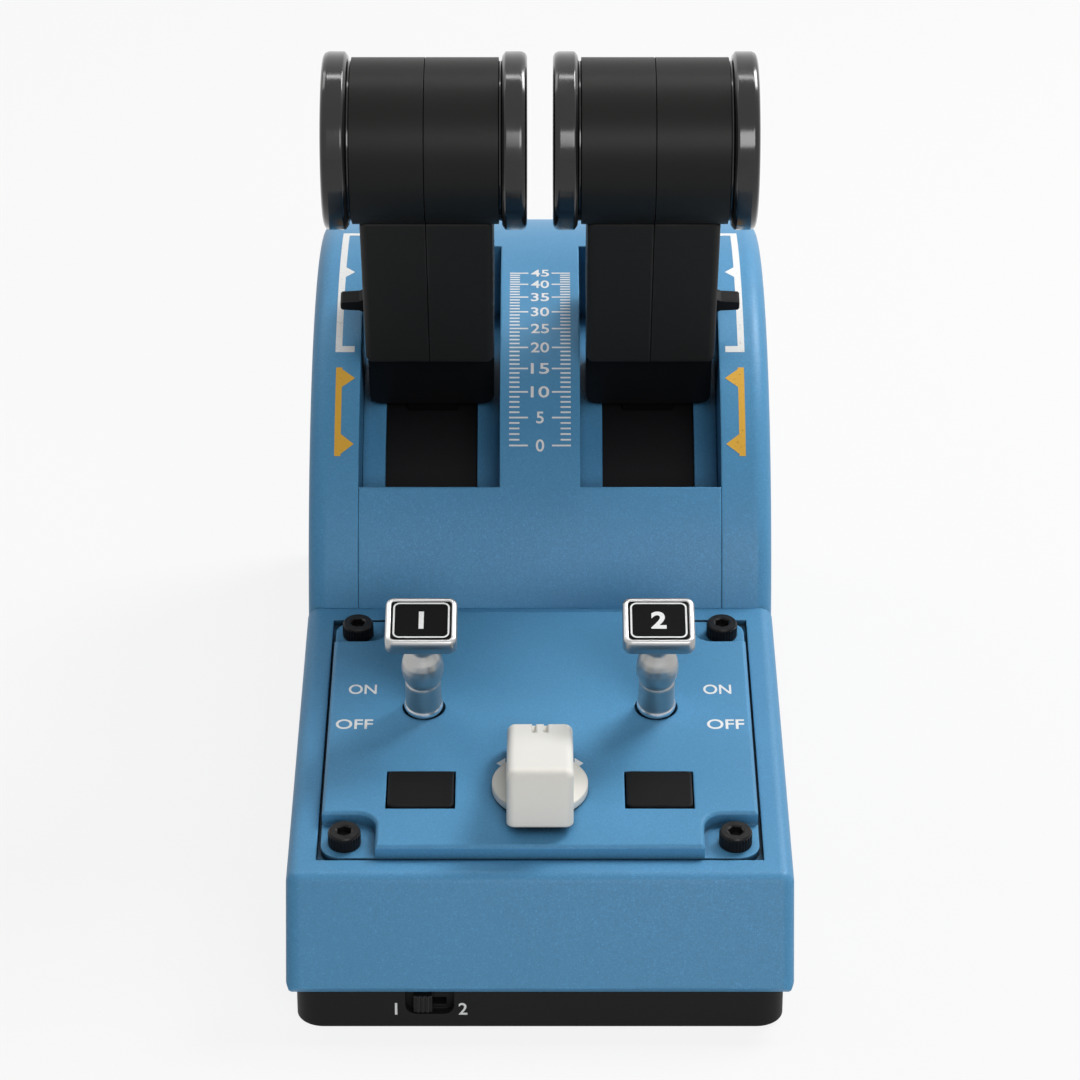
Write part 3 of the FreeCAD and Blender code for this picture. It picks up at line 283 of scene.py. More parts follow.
def build_surface_group():
    """Moulded surface: fine grain, slow mottling, handling marks, and an edge mask for rubbed edges
    and painted edge highlights.

    Scales are in features per metre. The edge mask is 1 on an edge that hands and sleeves
    polish, and the blue paint also uses it for a painted highlight; "Soft Normal" rounds the
    shading of sharp moulded edges.
    """
    group = bpy.data.node_groups.new("moulded_surface", "ShaderNodeTree")
    add_socket(group, "Vector", "INPUT", "Vector")
    for name, value in (("Grain Scale", 2500.0), ("Mottle Scale", 45.0), ("Edge Radius", 0.5 * MM)):
        add_socket(group, name, "INPUT", value=value)
    for name in ("Grain", "Mottle", "Marks", "Rub And Sheen"):
        add_socket(group, name, "OUTPUT")
    add_socket(group, "Soft Normal", "OUTPUT", "Vector")
    start = group.nodes.new("NodeGroupInput")
    end = group.nodes.new("NodeGroupOutput")
    grain = group.nodes.new("ShaderNodeTexNoise")
    grain.inputs["Detail"].default_value = 3.0
    mottle = group.nodes.new("ShaderNodeTexNoise")
    mottle.inputs["Detail"].default_value = 4.0
    for texture, scale in ((grain, "Grain Scale"), (mottle, "Mottle Scale")):
        group.links.new(start.outputs["Vector"], texture.inputs["Vector"])
        group.links.new(start.outputs[scale], texture.inputs["Scale"])
    smear = stretched(group, start.outputs["Vector"], (40.0, 900.0, 300.0), (0.4, 0.3, 0.7))
    marks = noise(group, smear, 1.0, 2.0)
    bevel = group.nodes.new("ShaderNodeBevel")
    bevel.samples = 4
    group.links.new(start.outputs["Edge Radius"], bevel.inputs["Radius"])
    geometry = group.nodes.new("ShaderNodeNewGeometry")
    turn = group.nodes.new("ShaderNodeVectorMath")
    turn.operation = "DOT_PRODUCT"
    group.links.new(bevel.outputs["Normal"], turn.inputs[0])
    group.links.new(geometry.outputs["Normal"], turn.inputs[1])
    edge = ramp_between(group, math_node(group, "SUBTRACT", 1.0, turn.outputs["Value"]), 0.01, 0.16)
    edge_rub_and_sheen = math_node(group, "MULTIPLY", edge, ramp_between(group, mottle.outputs["Fac"], 0.35, 0.65))
    for source, name in ((grain.outputs["Fac"], "Grain"), (mottle.outputs["Fac"], "Mottle"),
                         (ramp_between(group, marks, 0.62, 0.8), "Marks"), (edge_rub_and_sheen, "Rub And Sheen"),
                         (bevel.outputs["Normal"], "Soft Normal")):
        group.links.new(source, end.inputs[name])
    return group


moulded_surface = build_surface_group()


def use_surface(tree, vector, grain, mottle, edge):
    """The shared surface group in a material; the edge radius is in millimetres."""
    surface = tree.nodes.new("ShaderNodeGroup")
    surface.node_tree = moulded_surface
    surface.inputs["Grain Scale"].default_value = grain
    surface.inputs["Mottle Scale"].default_value = mottle
    surface.inputs["Edge Radius"].default_value = edge * MM
    tree.links.new(vector, surface.inputs["Vector"])
    return surface.outputs


MOTTLE_SCALE = 45.0
RUB_SHINE = 0.12


def moulded(name, color, roughness, rub_and_sheen_color=None, metallic=0.0, spread=0.12, grain=2500.0,
            bump=0.05, edge=0.4, mirror=0.15):
    """A moulded, cast or painted finish built on the shared surface group."""
    material, tree, shader = new_material(name, color, roughness, metallic, mirror)
    surface = use_surface(tree, object_place(tree), grain, MOTTLE_SCALE, edge)
    body = mix_color(tree, surface["Mottle"], shade(color, 1 - spread), shade(color, 1 + spread))
    flecked = mix_color(tree, surface["Grain"], None, None, body, darker(tree, body, spread))
    worn = rub_and_sheen_color or shade(color, 1.5)
    rough = math_node(tree, "MULTIPLY_ADD", surface["Grain"], 0.16, roughness - 0.08)
    marked = math_node(tree, "MULTIPLY_ADD", surface["Marks"], 0.06, rough)
    set_look(tree, shader, mix_color(tree, surface["Rub And Sheen"], None, worn, flecked),
             math_node(tree, "MULTIPLY_ADD", surface["Rub And Sheen"], -RUB_SHINE, marked))
    add_relief(tree, shader, surface["Grain"], bump, 0.1, surface["Soft Normal"])
    return material


def dress(material, *names):
    """Give CAD nodes their finish."""
    for name in names:
        mesh = nodes[name].data
        mesh.materials.clear()
        mesh.materials.append(material)


def dress_levers(material, *parts):
    """Give the same pieces of both levers their finish."""
    dress(material, *("lever_%d_%s" % (number, part) for number in (1, 2) for part in parts))


black_plastic = moulded("black_plastic", (0.0075, 0.0075, 0.008), 0.55, grain=3000.0)
dress(black_plastic, "base_pan")

# ---------------------------------------------------------------- feet, casing screws, inserts
# Four nitrile pads glued into shallow recesses, six zinc-plated pan-head screws that draw the
# blue shells down on the tray, and four knurled brass inserts melted into its bosses.

foot_rubber = moulded("foot_rubber", (0.020, 0.020, 0.019), 0.82, grain=1400.0, bump=0.25,
                      spread=0.3)
dress(foot_rubber, "rubber_feet")


def machined(name, color, roughness, axis, lines=3500.0, tilt=0.0):
    """Turned or drawn metal: fine rings or lines across one axis, with faint stains."""
    material, tree, shader = new_material(name, color, roughness, 1.0)
    place = object_place(tree)
    scale = tuple(lines if item == axis else 12.0 for item in "XYZ")
    rings = noise(tree, stretched(tree, place, scale, (tilt, 0.0, 0.0)), 1.0, 3.0, 0.6)
    stains = noise(tree, place, 60.0, 4.0)
    tone = mix_color(tree, stains, shade(color, 0.82), shade(color, 1.12))
    set_look(tree, shader, mix_color(tree, rings, None, None, tone, darker(tree, tone, 0.18)),
             math_node(tree, "MULTIPLY_ADD", rings, 0.22, roughness - 0.11))
    add_relief(tree, shader, rings, 0.12, 0.05)
    return material


bright_steel = machined("bright_steel", (0.60, 0.60, 0.58), 0.34, "Z")
dress(bright_steel, "case_screws")
insert_brass = machined("insert_brass", (0.72, 0.50, 0.20), 0.36, "Z")
dress(insert_brass, "mount_inserts")

# ---------------------------------------------------------------- axle, brackets and electronics
# What the casing hides: a ground steel axle held by push-on clips in three moulded brackets,
# acetal washers, green boards with copper tracks under the mask, and nylon switch bodies.

axle_steel = machined("axle_steel", (0.62, 0.62, 0.61), 0.22, "X")
dress(axle_steel, "lever_axle", "axle_clips")
dress(black_plastic, "side_brackets", "centre_bracket")
acetal = moulded("white_acetal", (0.74, 0.73, 0.69), 0.36, rub_and_sheen_color=(0.8, 0.79, 0.76), spread=0.04)
dress(acetal, "thrust_washers")
switch_nylon = moulded("switch_nylon", (0.030, 0.032, 0.036), 0.46, grain=1800.0)
dress(switch_nylon, "toggle_switch_cases", "rotary_switch_case", "button_switches",
      "slide_switch_case")
dress_levers(switch_nylon, "button_switch")


def circuit_mask():
    """Green solder mask over copper: straight tracks show as slightly raised, lighter lines."""
    material, tree, shader = new_material("circuit_board", (0.012, 0.13, 0.05), 0.35)
    place = object_place(tree)
    tracks = tree.nodes.new("ShaderNodeTexBrick")
    tracks.inputs["Scale"].default_value = 160.0
    tracks.inputs["Mortar Size"].default_value = 0.05
    for name, value in (("Color1", 0.0), ("Color2", 0.0), ("Mortar", 1.0)):
        tracks.inputs[name].default_value = (value, value, value, 1.0)
    tree.links.new(place, tracks.inputs["Vector"])
    line = tracks.outputs["Color"]
    set_look(tree, shader, mix_color(tree, line, (0.010, 0.115, 0.045), (0.03, 0.24, 0.09)),
             math_node(tree, "MULTIPLY_ADD", noise(tree, place, 400.0), 0.2, 0.25))
    add_relief(tree, shader, line, 0.4, 0.04)
    return material


dress(circuit_mask(), "switch_board", "main_board", "lever_sensors")
socket_shell = machined("socket_shell", (0.66, 0.66, 0.64), 0.28, "Y", 2400.0)
dress(socket_shell, "usb_socket")

# ---------------------------------------------------------------- blue casing shells
# Nose and deck, dome centre and the two cheeks: ABS mouldings sprayed with one coat of blue
# with a fine aluminium flake. The edges are painted lighter, partly as rubbed paint and partly
# as a painted highlight, and gaps, holes and crevices get painted shade that goes almost to black.

SHELL_BLUE = (0.082, 0.270, 0.475)


def flake_paint(name, color):
    """Sprayed satin metallic paint: aluminium flake and orange peel, with edges painted lighter
    (partly rubbed paint, partly a painted highlight) and painted shade in crevices.
    """
    material, tree, shader = new_material(name, color, 0.42, 0.2, 0.2)
    place = object_place(tree)
    surface = use_surface(tree, place, 2600.0, 38.0, 0.7)
    base = mix_color(tree, surface["Mottle"], shade(color, 0.93), shade(color, 1.07))
    flakes = tree.nodes.new("ShaderNodeTexVoronoi")
    flakes.inputs["Scale"].default_value = 5200.0
    tree.links.new(place, flakes.inputs["Vector"])
    split = tree.nodes.new("ShaderNodeSeparateColor")
    tree.links.new(flakes.outputs["Color"], split.inputs["Color"])
    sparkle = ramp_between(tree, split.outputs[0], 0.72, 1.0)
    dull = ramp_between(tree, split.outputs[1], 0.6, 1.0)
    lit = mix_color(tree, math_node(tree, "MULTIPLY", sparkle, 0.24), None, shade(color, 1.7), base)
    deep = mix_color(tree, math_node(tree, "MULTIPLY", dull, 0.3), None, shade(color, 0.7), lit)
    # Edges up to twice as light: partly rubbed paint, partly a painted highlight.
    edge = math_node(tree, "MULTIPLY", surface["Rub And Sheen"], 0.6)
    rub_and_sheen_color = mix_color(tree, edge, None, shade(color, 2.0), deep)
    # Painted shade: where ambient occlusion finds gaps, holes and crevices, the colour goes almost
    # to black.
    crevice_shade = tree.nodes.new("ShaderNodeAmbientOcclusion")
    crevice_shade.samples = 6
    crevice_shade.inputs["Distance"].default_value = 5.0 * MM
    open_air = ramp_between(tree, crevice_shade.outputs["AO"], 0.22, 0.62)
    rough = math_node(tree, "MULTIPLY_ADD", surface["Mottle"], 0.14, 0.34)
    set_look(tree, shader, mix_color(tree, open_air, shade(color, 0.03), None, None, rub_and_sheen_color),
             math_node(tree, "MULTIPLY_ADD", surface["Marks"], 0.05, rough))
    tree.links.new(math_node(tree, "MULTIPLY", sparkle, 0.12), shader.inputs["Metallic"])
    peel = math_node(tree, "MULTIPLY_ADD", surface["Grain"], 0.5, noise(tree, place, 520.0, 2.0))
    add_relief(tree, shader, peel, 0.07, 0.1, surface["Soft Normal"])
    return material


blue_paint = flake_paint("blue_shell", SHELL_BLUE)
dress(blue_paint, "front_housing", "dome_centre", "left_cheek", "right_cheek")

# ---------------------------------------------------------------- lever scale on the dome's centre
# The strip between the two levers carries a pad-printed white scale from 0 to 45: five-unit
# marks on both edges with a number between them, and four short marks in each step.

scale_joint = joints["lever_1_throttle"]
pivot_y, pivot_z = scale_joint["pos_m"][1], scale_joint["pos_m"][2]
DOME_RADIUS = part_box("dome_centre")[1][2] - pivot_z

SCALE_START = 45.04
SCALE_STEP = 0.9625
SCALE_SHORTEN = 0.0039
MARKS = 46
STRIP_EDGE = 7.35
LONG_MARK = 4.5
SHORT_MARK = 2.45
MARK_LINE = 0.42
NUMBER_HEIGHT = 3.1
TWO_FIGURES = 4.4
PRINT_THICKNESS = 0.04


def scale_angle(value):
    """Height angle about the lever axle, in degrees, of a reading on the scale."""
    return SCALE_START + SCALE_STEP * value - SCALE_SHORTEN * value ** 2


def print_ink(name, color):
    """Pad-printed ink: thin, a little chalky, worn through in tiny spots."""
    material, tree, shader = new_material(name, color, 0.6)
    place = object_place(tree)
    worn = ramp_between(tree, noise(tree, place, 1500.0, 4.0), 0.60, 0.78)
    set_look(tree, shader, mix_color(tree, worn, color, shade(color, 0.62)),
             math_node(tree, "MULTIPLY_ADD", noise(tree, place, 3000.0), 0.2, 0.5))
    add_relief(tree, shader, worn, 0.1, 0.03)
    return material


white_ink = print_ink("white_ink", (0.78, 0.79, 0.78))


def set_input(modifier, name, value):
    """Set a modifier's input by the identifier of the socket with this name."""
    for item in modifier.node_group.interface.items_tree:
        if item.in_out == "INPUT" and item.name == name:
            modifier[item.identifier] = value


def combine(tree, *values):
    """A vector out of sockets; an axis given as None stays at 0."""
    node = tree.nodes.new("ShaderNodeCombineXYZ")
    for socket, value in zip(node.inputs, values):
        if value is not None:
            tree.links.new(value, socket)
    return node.outputs[0]


def lay_copies(tree, points, copied, rotation, finish, end, scale=None):
    """Put a copy on every point, turned and scaled, and give the real mesh its material."""
    lay = tree.nodes.new("GeometryNodeInstanceOnPoints")
    real = tree.nodes.new("GeometryNodeRealizeInstances")
    coat = tree.nodes.new("GeometryNodeSetMaterial")
    for source, target in ((points, lay.inputs["Points"]), (copied, lay.inputs["Instance"]),
                           (rotation, lay.inputs["Rotation"]), (scale, lay.inputs["Scale"]),
                           (lay.outputs[0], real.inputs[0]),
                           (real.outputs[0], coat.inputs["Geometry"]),
                           (finish, coat.inputs["Material"]), (coat.outputs[0], end.inputs[0])):
        if source is not None:
            tree.links.new(source, target)


def build_scale_tree():
    """Scale marks along an arc about the X axis, each a thin plate laid on the dome."""
    tree = bpy.data.node_groups.new("scale_marks", "GeometryNodeTree")
    add_socket(tree, "Geometry", "INPUT", "Geometry")
    add_socket(tree, "Marks", "INPUT", "Int", MARKS)
    for name, value in (("Start", 45.0), ("Step", 1.0), ("Shorten", 0.0), ("Radius", 0.087),
                        ("Outer Edge", 0.0073), ("Long", 0.0045), ("Short", 0.0024),
                        ("Line", 0.0004), ("Thickness", 0.00004), ("Side", 1.0)):
        add_socket(tree, name, "INPUT", value=value)
    add_socket(tree, "Ink", "INPUT", "Material")
    add_socket(tree, "Geometry", "OUTPUT", "Geometry")
    given = tree.nodes.new("NodeGroupInput").outputs
    end = tree.nodes.new("NodeGroupOutput")
    line = tree.nodes.new("GeometryNodeMeshLine")
    tree.links.new(given["Marks"], line.inputs["Count"])
    index = tree.nodes.new("GeometryNodeInputIndex").outputs[0]
    squared = math_node(tree, "MULTIPLY", index, index)
    climbed = math_node(tree, "MULTIPLY", index, given["Step"])
    eased = math_node(tree, "MULTIPLY", squared, given["Shorten"])
    degrees = math_node(tree, "SUBTRACT", math_node(tree, "ADD", given["Start"], climbed), eased)
    angle = math_node(tree, "RADIANS", degrees)
    rest = math_node(tree, "MODULO", index, 5.0)
    is_long = math_node(tree, "LESS_THAN", rest, 0.5)
    extra = math_node(tree, "SUBTRACT", given["Long"], given["Short"])
    length = math_node(tree, "MULTIPLY_ADD", is_long, extra, given["Short"])
    middle = math_node(tree, "SUBTRACT", given["Outer Edge"],
                       math_node(tree, "MULTIPLY", length, 0.5))
    x = math_node(tree, "MULTIPLY", middle, given["Side"])
    back = math_node(tree, "MULTIPLY", math_node(tree, "COSINE", angle),
                     math_node(tree, "MULTIPLY", given["Radius"], -1.0))
    up = math_node(tree, "MULTIPLY", math_node(tree, "SINE", angle), given["Radius"])
    move = tree.nodes.new("GeometryNodeSetPosition")
    tree.links.new(line.outputs[0], move.inputs["Geometry"])
    tree.links.new(combine(tree, x, back, up), move.inputs["Position"])
    plate = tree.nodes.new("GeometryNodeMeshCube")
    lean = combine(tree, math_node(tree, "SUBTRACT", math.pi / 2, angle))
    size = combine(tree, length, given["Line"], given["Thickness"])
    lay_copies(tree, move.outputs[0], plate.outputs["Mesh"], lean, given["Ink"], end, size)
    return tree


def plain_mesh(carrier):
    """The finished mesh of a carrier object, which is then removed."""
    bpy.context.view_layer.update()
    evaluated = carrier.evaluated_get(bpy.context.evaluated_depsgraph_get())
    mesh = bpy.data.meshes.new_from_object(evaluated)
    bpy.data.objects.remove(carrier)
    return mesh


def from_tree(name, tree, values, matrix, mesh=None):
    """Run a Geometry Nodes tree once and keep its result as a plain mesh at the origin."""
    carrier = add_object(name + "_carrier", mesh or bpy.data.meshes.new(name + "_carrier"))
    modifier = carrier.modifiers.new("make", "NODES")
    modifier.node_group = tree
    for key, value in values.items():
        set_input(modifier, key, value)
    result = plain_mesh(carrier)
    result.transform(matrix)
    return add_object(name, result)


def finish_piece(piece, body, slot, *replaced):
    """Ride a finished piece on its body and hide what it stands for. The slot is not used."""
    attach(piece, body)
    if replaced:
        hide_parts(*replaced)


def mesh_piece(name, shape, material, matrix=None, smooth=True):
    """Turn a bmesh into a piece with its faces outwards and its place in its mesh."""
    bmesh.ops.remove_doubles(shape, verts=shape.verts, dist=1e-7)
    bmesh.ops.recalc_face_normals(shape, faces=shape.faces)
    mesh = bpy.data.meshes.new(name)
    shape.to_mesh(mesh)
    shape.free()
    if matrix is not None:
        mesh.transform(matrix)
    mesh.materials.append(material)
    for face in mesh.polygons:
        face.use_smooth = smooth
    return add_object(name, mesh)


def on_dome(angle, lift=0.0):
    """Frame on the dome at a height angle: X along the axle, Y up the curve, Z outwards."""
    radians = math.radians(angle)
    reach = DOME_RADIUS + lift
    place = Vector((0.0, pivot_y - reach * math.cos(radians), pivot_z + reach * math.sin(radians)))
    return Matrix.Translation(place) @ Matrix.Rotation(math.pi / 2 - radians, 4, "X")


def lettering(name, words, width, height, matrix, material, weight=0.012):
    """Flat printed characters of a height, and of a width if one is given, centred on a frame."""
    curve = bpy.data.curves.new(name, "FONT")
    curve.body = words
    curve.offset = weight
    curve.extrude = 0.5
    curve.resolution_u = 6
    mesh = plain_mesh(add_object(name + "_carrier", curve))
    low = [min(vertex.co[axis] for vertex in mesh.vertices) for axis in range(3)]
    high = [max(vertex.co[axis] for vertex in mesh.vertices) for axis in range(3)]
    tall = height * MM / (high[1] - low[1])
    wide = width * MM / (high[0] - low[0]) if width else tall
    sizes = (wide, tall, PRINT_THICKNESS * MM / (high[2] - low[2]))
    middle = Vector([-(top + bottom) / 2 for top, bottom in zip(high, low)])
    mesh.transform(matrix @ Matrix.Diagonal((*sizes, 1.0)) @ Matrix.Translation(middle))
    mesh.materials.clear()
    mesh.materials.append(material)
    return add_object(name, mesh)


def merge(name, pieces):
    """One piece out of several that ride together."""
    shape = bmesh.new()
    for piece in pieces:
        shape.from_mesh(piece.data)
    mesh = bpy.data.meshes.new(name)
    shape.to_mesh(mesh)
    shape.free()
    mesh.materials.append(pieces[0].data.materials[0])
    for piece in pieces:
        bpy.data.objects.remove(piece)
    return add_object(name, mesh)


scale_tree = build_scale_tree()
about_axle = Matrix.Translation((0.0, pivot_y, pivot_z))
mark_sets = []
for side in (-1.0, 1.0):
    mark_sets.append(from_tree("scale_marks", scale_tree, {
        "Marks": MARKS, "Start": SCALE_START, "Step": SCALE_STEP, "Shorten": SCALE_SHORTEN,
        "Radius": DOME_RADIUS, "Outer Edge": STRIP_EDGE * MM, "Long": LONG_MARK * MM,
        "Short": SHORT_MARK * MM, "Line": MARK_LINE * MM, "Thickness": 2 * PRINT_THICKNESS * MM,
        "Side": side, "Ink": white_ink}, about_axle))
numbers = []
for value in range(0, MARKS, 5):
    width = None if value < 10 else TWO_FIGURES
    numbers.append(lettering("scale_number_%d" % value, str(value), width, NUMBER_HEIGHT,
                             on_dome(scale_angle(value), PRINT_THICKNESS * MM / 2), white_ink))
scale_print = merge("lever_scale", mark_sets + numbers)
finish_piece(scale_print, "housing", "knob_white")

# ---------------------------------------------------------------- range brackets on the cheeks
# Beside each lever a white bracket marks its working range and a yellow one below it the
# range held back. Both are printed, with small arrowheads that point at the lever's fin.

yellow_ink = print_ink("yellow_ink", (0.70, 0.38, 0.030))

# On each cheek, in millimetres out from the middle and degrees up the curve: strips from
# their inner to their outer edge and from low to high, arrowheads with root, tip, angle, spread.
WHITE_STRIPS = [(47.6, 49.2, 61.8, 96.0), (44.6, 49.2, 61.8, 63.0), (44.2, 49.2, 94.8, 96.0)]
WHITE_ARROWS = [(47.7, 45.4, 80.8, 1.5)]
YELLOW_STRIPS = [(47.4, 48.9, 43.3, 58.8)]
YELLOW_ARROWS = [(47.5, 44.3, 45.3, 1.7), (47.5, 44.3, 56.8, 1.7)]
STRIP_LIFT = 0.03
ARROW_LIFT = 0.04
STRIP_STEP = 1.5


def add_wall(shape, lower, upper):
    """Quads all round between two loops of equally many vertices."""
    for step in range(len(lower)):
        follower = (step + 1) % len(lower)
        shape.faces.new((lower[step], lower[follower], upper[follower], upper[step]))


def dome_strip(shape, x_low, x_high, low, high):
    """A thin curved strip on the dome, between two X places and two height angles."""
    steps = max(2, int((high - low) / STRIP_STEP))
    rows = []
    for step in range(steps + 1):
        frame_here = on_dome(low + (high - low) * step / steps)
        rows.append([shape.verts.new(frame_here @ Vector((x * MM, 0.0, z * MM)))
                     for x, z in ((x_low, STRIP_LIFT), (x_high, STRIP_LIFT),
                                  (x_high, -STRIP_LIFT), (x_low, -STRIP_LIFT))])
    for lower, upper in zip(rows, rows[1:]):
        add_wall(shape, lower, upper)
    shape.faces.new(rows[0][::-1])
    shape.faces.new(rows[-1])


def prism(shape, corners, out):
    """A thin plate through the corners, pushed out to both sides by the given vector."""
    top = [shape.verts.new(corner + out) for corner in corners]
    bottom = [shape.verts.new(corner - out) for corner in corners]
    shape.faces.new(top)
    shape.faces.new(bottom[::-1])
    add_wall(shape, bottom, top)


def dome_arrow(shape, x_root, x_tip, angle, spread):
    """A small arrowhead on the dome that points along X."""
    corners = [on_dome(place) @ Vector((x * MM, 0.0, 0.0))
               for place, x in ((angle - spread, x_root), (angle + spread, x_root), (angle, x_tip))]
    prism(shape, corners, on_dome(angle).to_3x3() @ Vector((0.0, 0.0, ARROW_LIFT * MM)))


# The number of each lever and of its controls, and the side of the middle it is on.
SIDES = ((1, -1), (2, 1))
for number, side in SIDES:
    for name, ink, strips, arrows in (("range_bracket", white_ink, WHITE_STRIPS, WHITE_ARROWS),
                                      ("held_bracket", yellow_ink, YELLOW_STRIPS, YELLOW_ARROWS)):
        bracket = bmesh.new()
        for near, far, low, high in strips:
            dome_strip(bracket, side * near, side * far, low, high)
        for root, tip, angle, spread in arrows:
            dome_arrow(bracket, side * root, side * tip, angle, spread)
        piece = mesh_piece("%s_%d" % (name, number), bracket, ink, smooth=False)
        finish_piece(piece, "housing", "knob_white")

# ---------------------------------------------------------------- deck panel
# The raised control panel drops into the deck and is printed in white: ON and OFF beside each
# toggle, and an arrowhead on each side of the selector.

dress(blue_paint, "deck_panel")

DECK_SLOPE = math.radians(6.46)
NOSE_RAKE = 10.5
NOSE_HEIGHT = 33.6
PANEL_RISE = 3.2
deck_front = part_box("front_housing")[0][1]
deck_frame = (Matrix.Translation((0.0, deck_front + NOSE_RAKE * MM, NOSE_HEIGHT * MM))
              @ Matrix.Rotation(DECK_SLOPE, 4, "X"))


def on_panel(x, along):
    """Frame on the control panel: X to the right, Y up the slope, Z square to it."""
    return deck_frame @ Matrix.Translation((x * MM, along * MM, PANEL_RISE * MM))


WORD_HEIGHT = 3.7
# Each word with its width, its place out from the middle and its place up the panel.
WORDS = [("ON", 6.4, 40.5, 64.3), ("OFF", 8.4, 41.9, 50.8)]
ARROWHEAD = [(7.7, 34.0), (7.7, 38.0), (9.7, 36.0)]
words = []
for side in (-1, 1):
    for word, width, out, along in WORDS:
        words.append(lettering("word_mark", word, width, WORD_HEIGHT,
                               on_panel(side * out, along), white_ink))
switch_words = merge("switch_words", words)
finish_piece(switch_words, "housing", "knob_white")

arrowheads = bmesh.new()
for side in (-1, 1):
    corners = [Vector((side * x * MM, y * MM, 0.0)) for x, y in ARROWHEAD]
    prism(arrowheads, corners, Vector((0.0, 0.0, PRINT_THICKNESS * MM / 2)))
turn_marks = mesh_piece("turn_marks", arrowheads, white_ink, on_panel(0.0, 0.0), smooth=False)
finish_piece(turn_marks, "housing", "knob_white")

# ---------------------------------------------------------------- control panel screws
# Four black-oxide socket-head cap screws, one in each stepped corner of the panel: knurled
# rim, small chamfer, and a hexagon socket broached halfway down.

black_oxide, tree, shader = new_material("black_oxide", (0.008, 0.008, 0.009), 0.38, 0.3, 0.2)
place = object_place(tree)
blotch = noise(tree, place, 700.0, 4.0)
set_look(tree, shader, mix_color(tree, blotch, (0.005, 0.005, 0.0055), (0.015, 0.0145, 0.0145)),
         math_node(tree, "MULTIPLY_ADD", blotch, 0.3, 0.22))
add_relief(tree, shader, noise(tree, place, 4000.0), 0.15, 0.05)

SCREW_HEAD = 3.6
SCREW_CORE = 1.95
SCREW_RISE = 3.6
SCREW_LENGTH = 9.0
SCREW_INSET = 5.2
HEX_FLAT = 1.5
KNURLS = 30
KNURL_POINTS = 4
KNURL_DEPTH = 0.12


def ringed_shape(rings):
    """A closed shape out of rings of equal vertex count, each given by its points."""
    shape = bmesh.new()
    loops = [[shape.verts.new(point) for point in ring] for ring in rings]
    for lower, upper in zip(loops, loops[1:]):
        add_wall(shape, lower, upper)
    for loop in (loops[0], loops[-1]):
        centre = shape.verts.new(sum((vertex.co for vertex in loop), Vector()) / len(loop))
        for here, there in zip(loop, loop[1:] + loop[:1]):
            shape.faces.new((here, there, centre))
    return shape


def cap_screw():
    """One socket-head cap screw standing on the origin."""
    count = KNURLS * KNURL_POINTS

    def plain(radius):
        return lambda angle, step: radius

    def knurled(angle, step):
        return SCREW_HEAD - (KNURL_DEPTH if step % KNURL_POINTS >= KNURL_POINTS / 2 else 0.0)

    def hexagon(angle, step):
        sector = math.radians(60.0)
        return HEX_FLAT / math.cos((angle + sector / 2) % sector - sector / 2)

    rings = []
    for radius_at, z in (
            (plain(SCREW_CORE), -SCREW_LENGTH), (plain(SCREW_CORE), 0.0),
            (plain(SCREW_HEAD - 0.15), 0.0), (knurled, 0.15), (knurled, SCREW_RISE - 0.55),
            (plain(SCREW_HEAD - 0.14), SCREW_RISE - 0.5),
            (plain(SCREW_HEAD - 0.14), SCREW_RISE - 0.3),
            (plain(SCREW_HEAD - 0.4), SCREW_RISE), (plain(HEX_FLAT + 0.45), SCREW_RISE),
            (hexagon, SCREW_RISE - 0.25), (hexagon, SCREW_RISE * 0.5),
            (plain(0.5), SCREW_RISE * 0.42)):
        ring = []
        for step in range(count):
            angle = 2 * math.pi * step / count
            radius = radius_at(angle, step)
            ring.append((radius * math.cos(angle) * MM, radius * math.sin(angle) * MM, z * MM))
        rings.append(ring)
    return mesh_piece("cap_screw", ringed_shape(rings), black_oxide, smooth=False)


def build_place_tree():
    """Put one copy of an object on every point of the carrier."""
    tree = bpy.data.node_groups.new("place_copies", "GeometryNodeTree")
    add_socket(tree, "Geometry", "INPUT", "Geometry")
    add_socket(tree, "Piece", "INPUT", "Object")
    add_socket(tree, "Turn Step", "INPUT", value=0.6)
    add_socket(tree, "Finish", "INPUT", "Material")
    add_socket(tree, "Geometry", "OUTPUT", "Geometry")
    given = tree.nodes.new("NodeGroupInput").outputs
    end = tree.nodes.new("NodeGroupOutput")
    info = tree.nodes.new("GeometryNodeObjectInfo")
    tree.links.new(given["Piece"], info.inputs["Object"])
    index = tree.nodes.new("GeometryNodeInputIndex").outputs[0]
    turn = math_node(tree, "MULTIPLY", index, given["Turn Step"])
    lay_copies(tree, given["Geometry"], info.outputs["Geometry"],
               combine(tree, None, None, turn), given["Finish"], end)
    return tree


PANEL_WIDTH = 95.6
PANEL_START = 6.0
PANEL_LENGTH = 90.0
screw_x = PANEL_WIDTH / 2 - SCREW_INSET
screw_rows = (PANEL_START + SCREW_INSET, PANEL_START + PANEL_LENGTH - SCREW_INSET)
screw_places = bpy.data.meshes.new("screw_places")
screw_places.from_pydata([(x * MM, y * MM, 0.0) for x in (-screw_x, screw_x)
                          for y in screw_rows], [], [])
one_screw = cap_screw()
panel_screws = from_tree("panel_screws", build_place_tree(),
                         {"Piece": one_screw, "Turn Step": 0.7, "Finish": black_oxide},
                         deck_frame, screw_places)
bpy.data.objects.remove(one_screw)
finish_piece(panel_screws, "housing", "black_steel", "deck_screws")

# ---------------------------------------------------------------- engine toggles
# Two bat toggles: a turned aluminium stem, bead-blasted satin above a polished ball collar,
# a square aluminium cap with a softly rounded rim, and a black label plate sunk in its face.

TOGGLE_LEAN = DECK_SLOPE + math.radians(12.0)
TOGGLE_HEIGHT = 27.8
CAP_WIDTH = 16.0
CAP_LENGTH = 14.1
CAP_HEIGHT = 4.0
CAP_RIM = 1.25
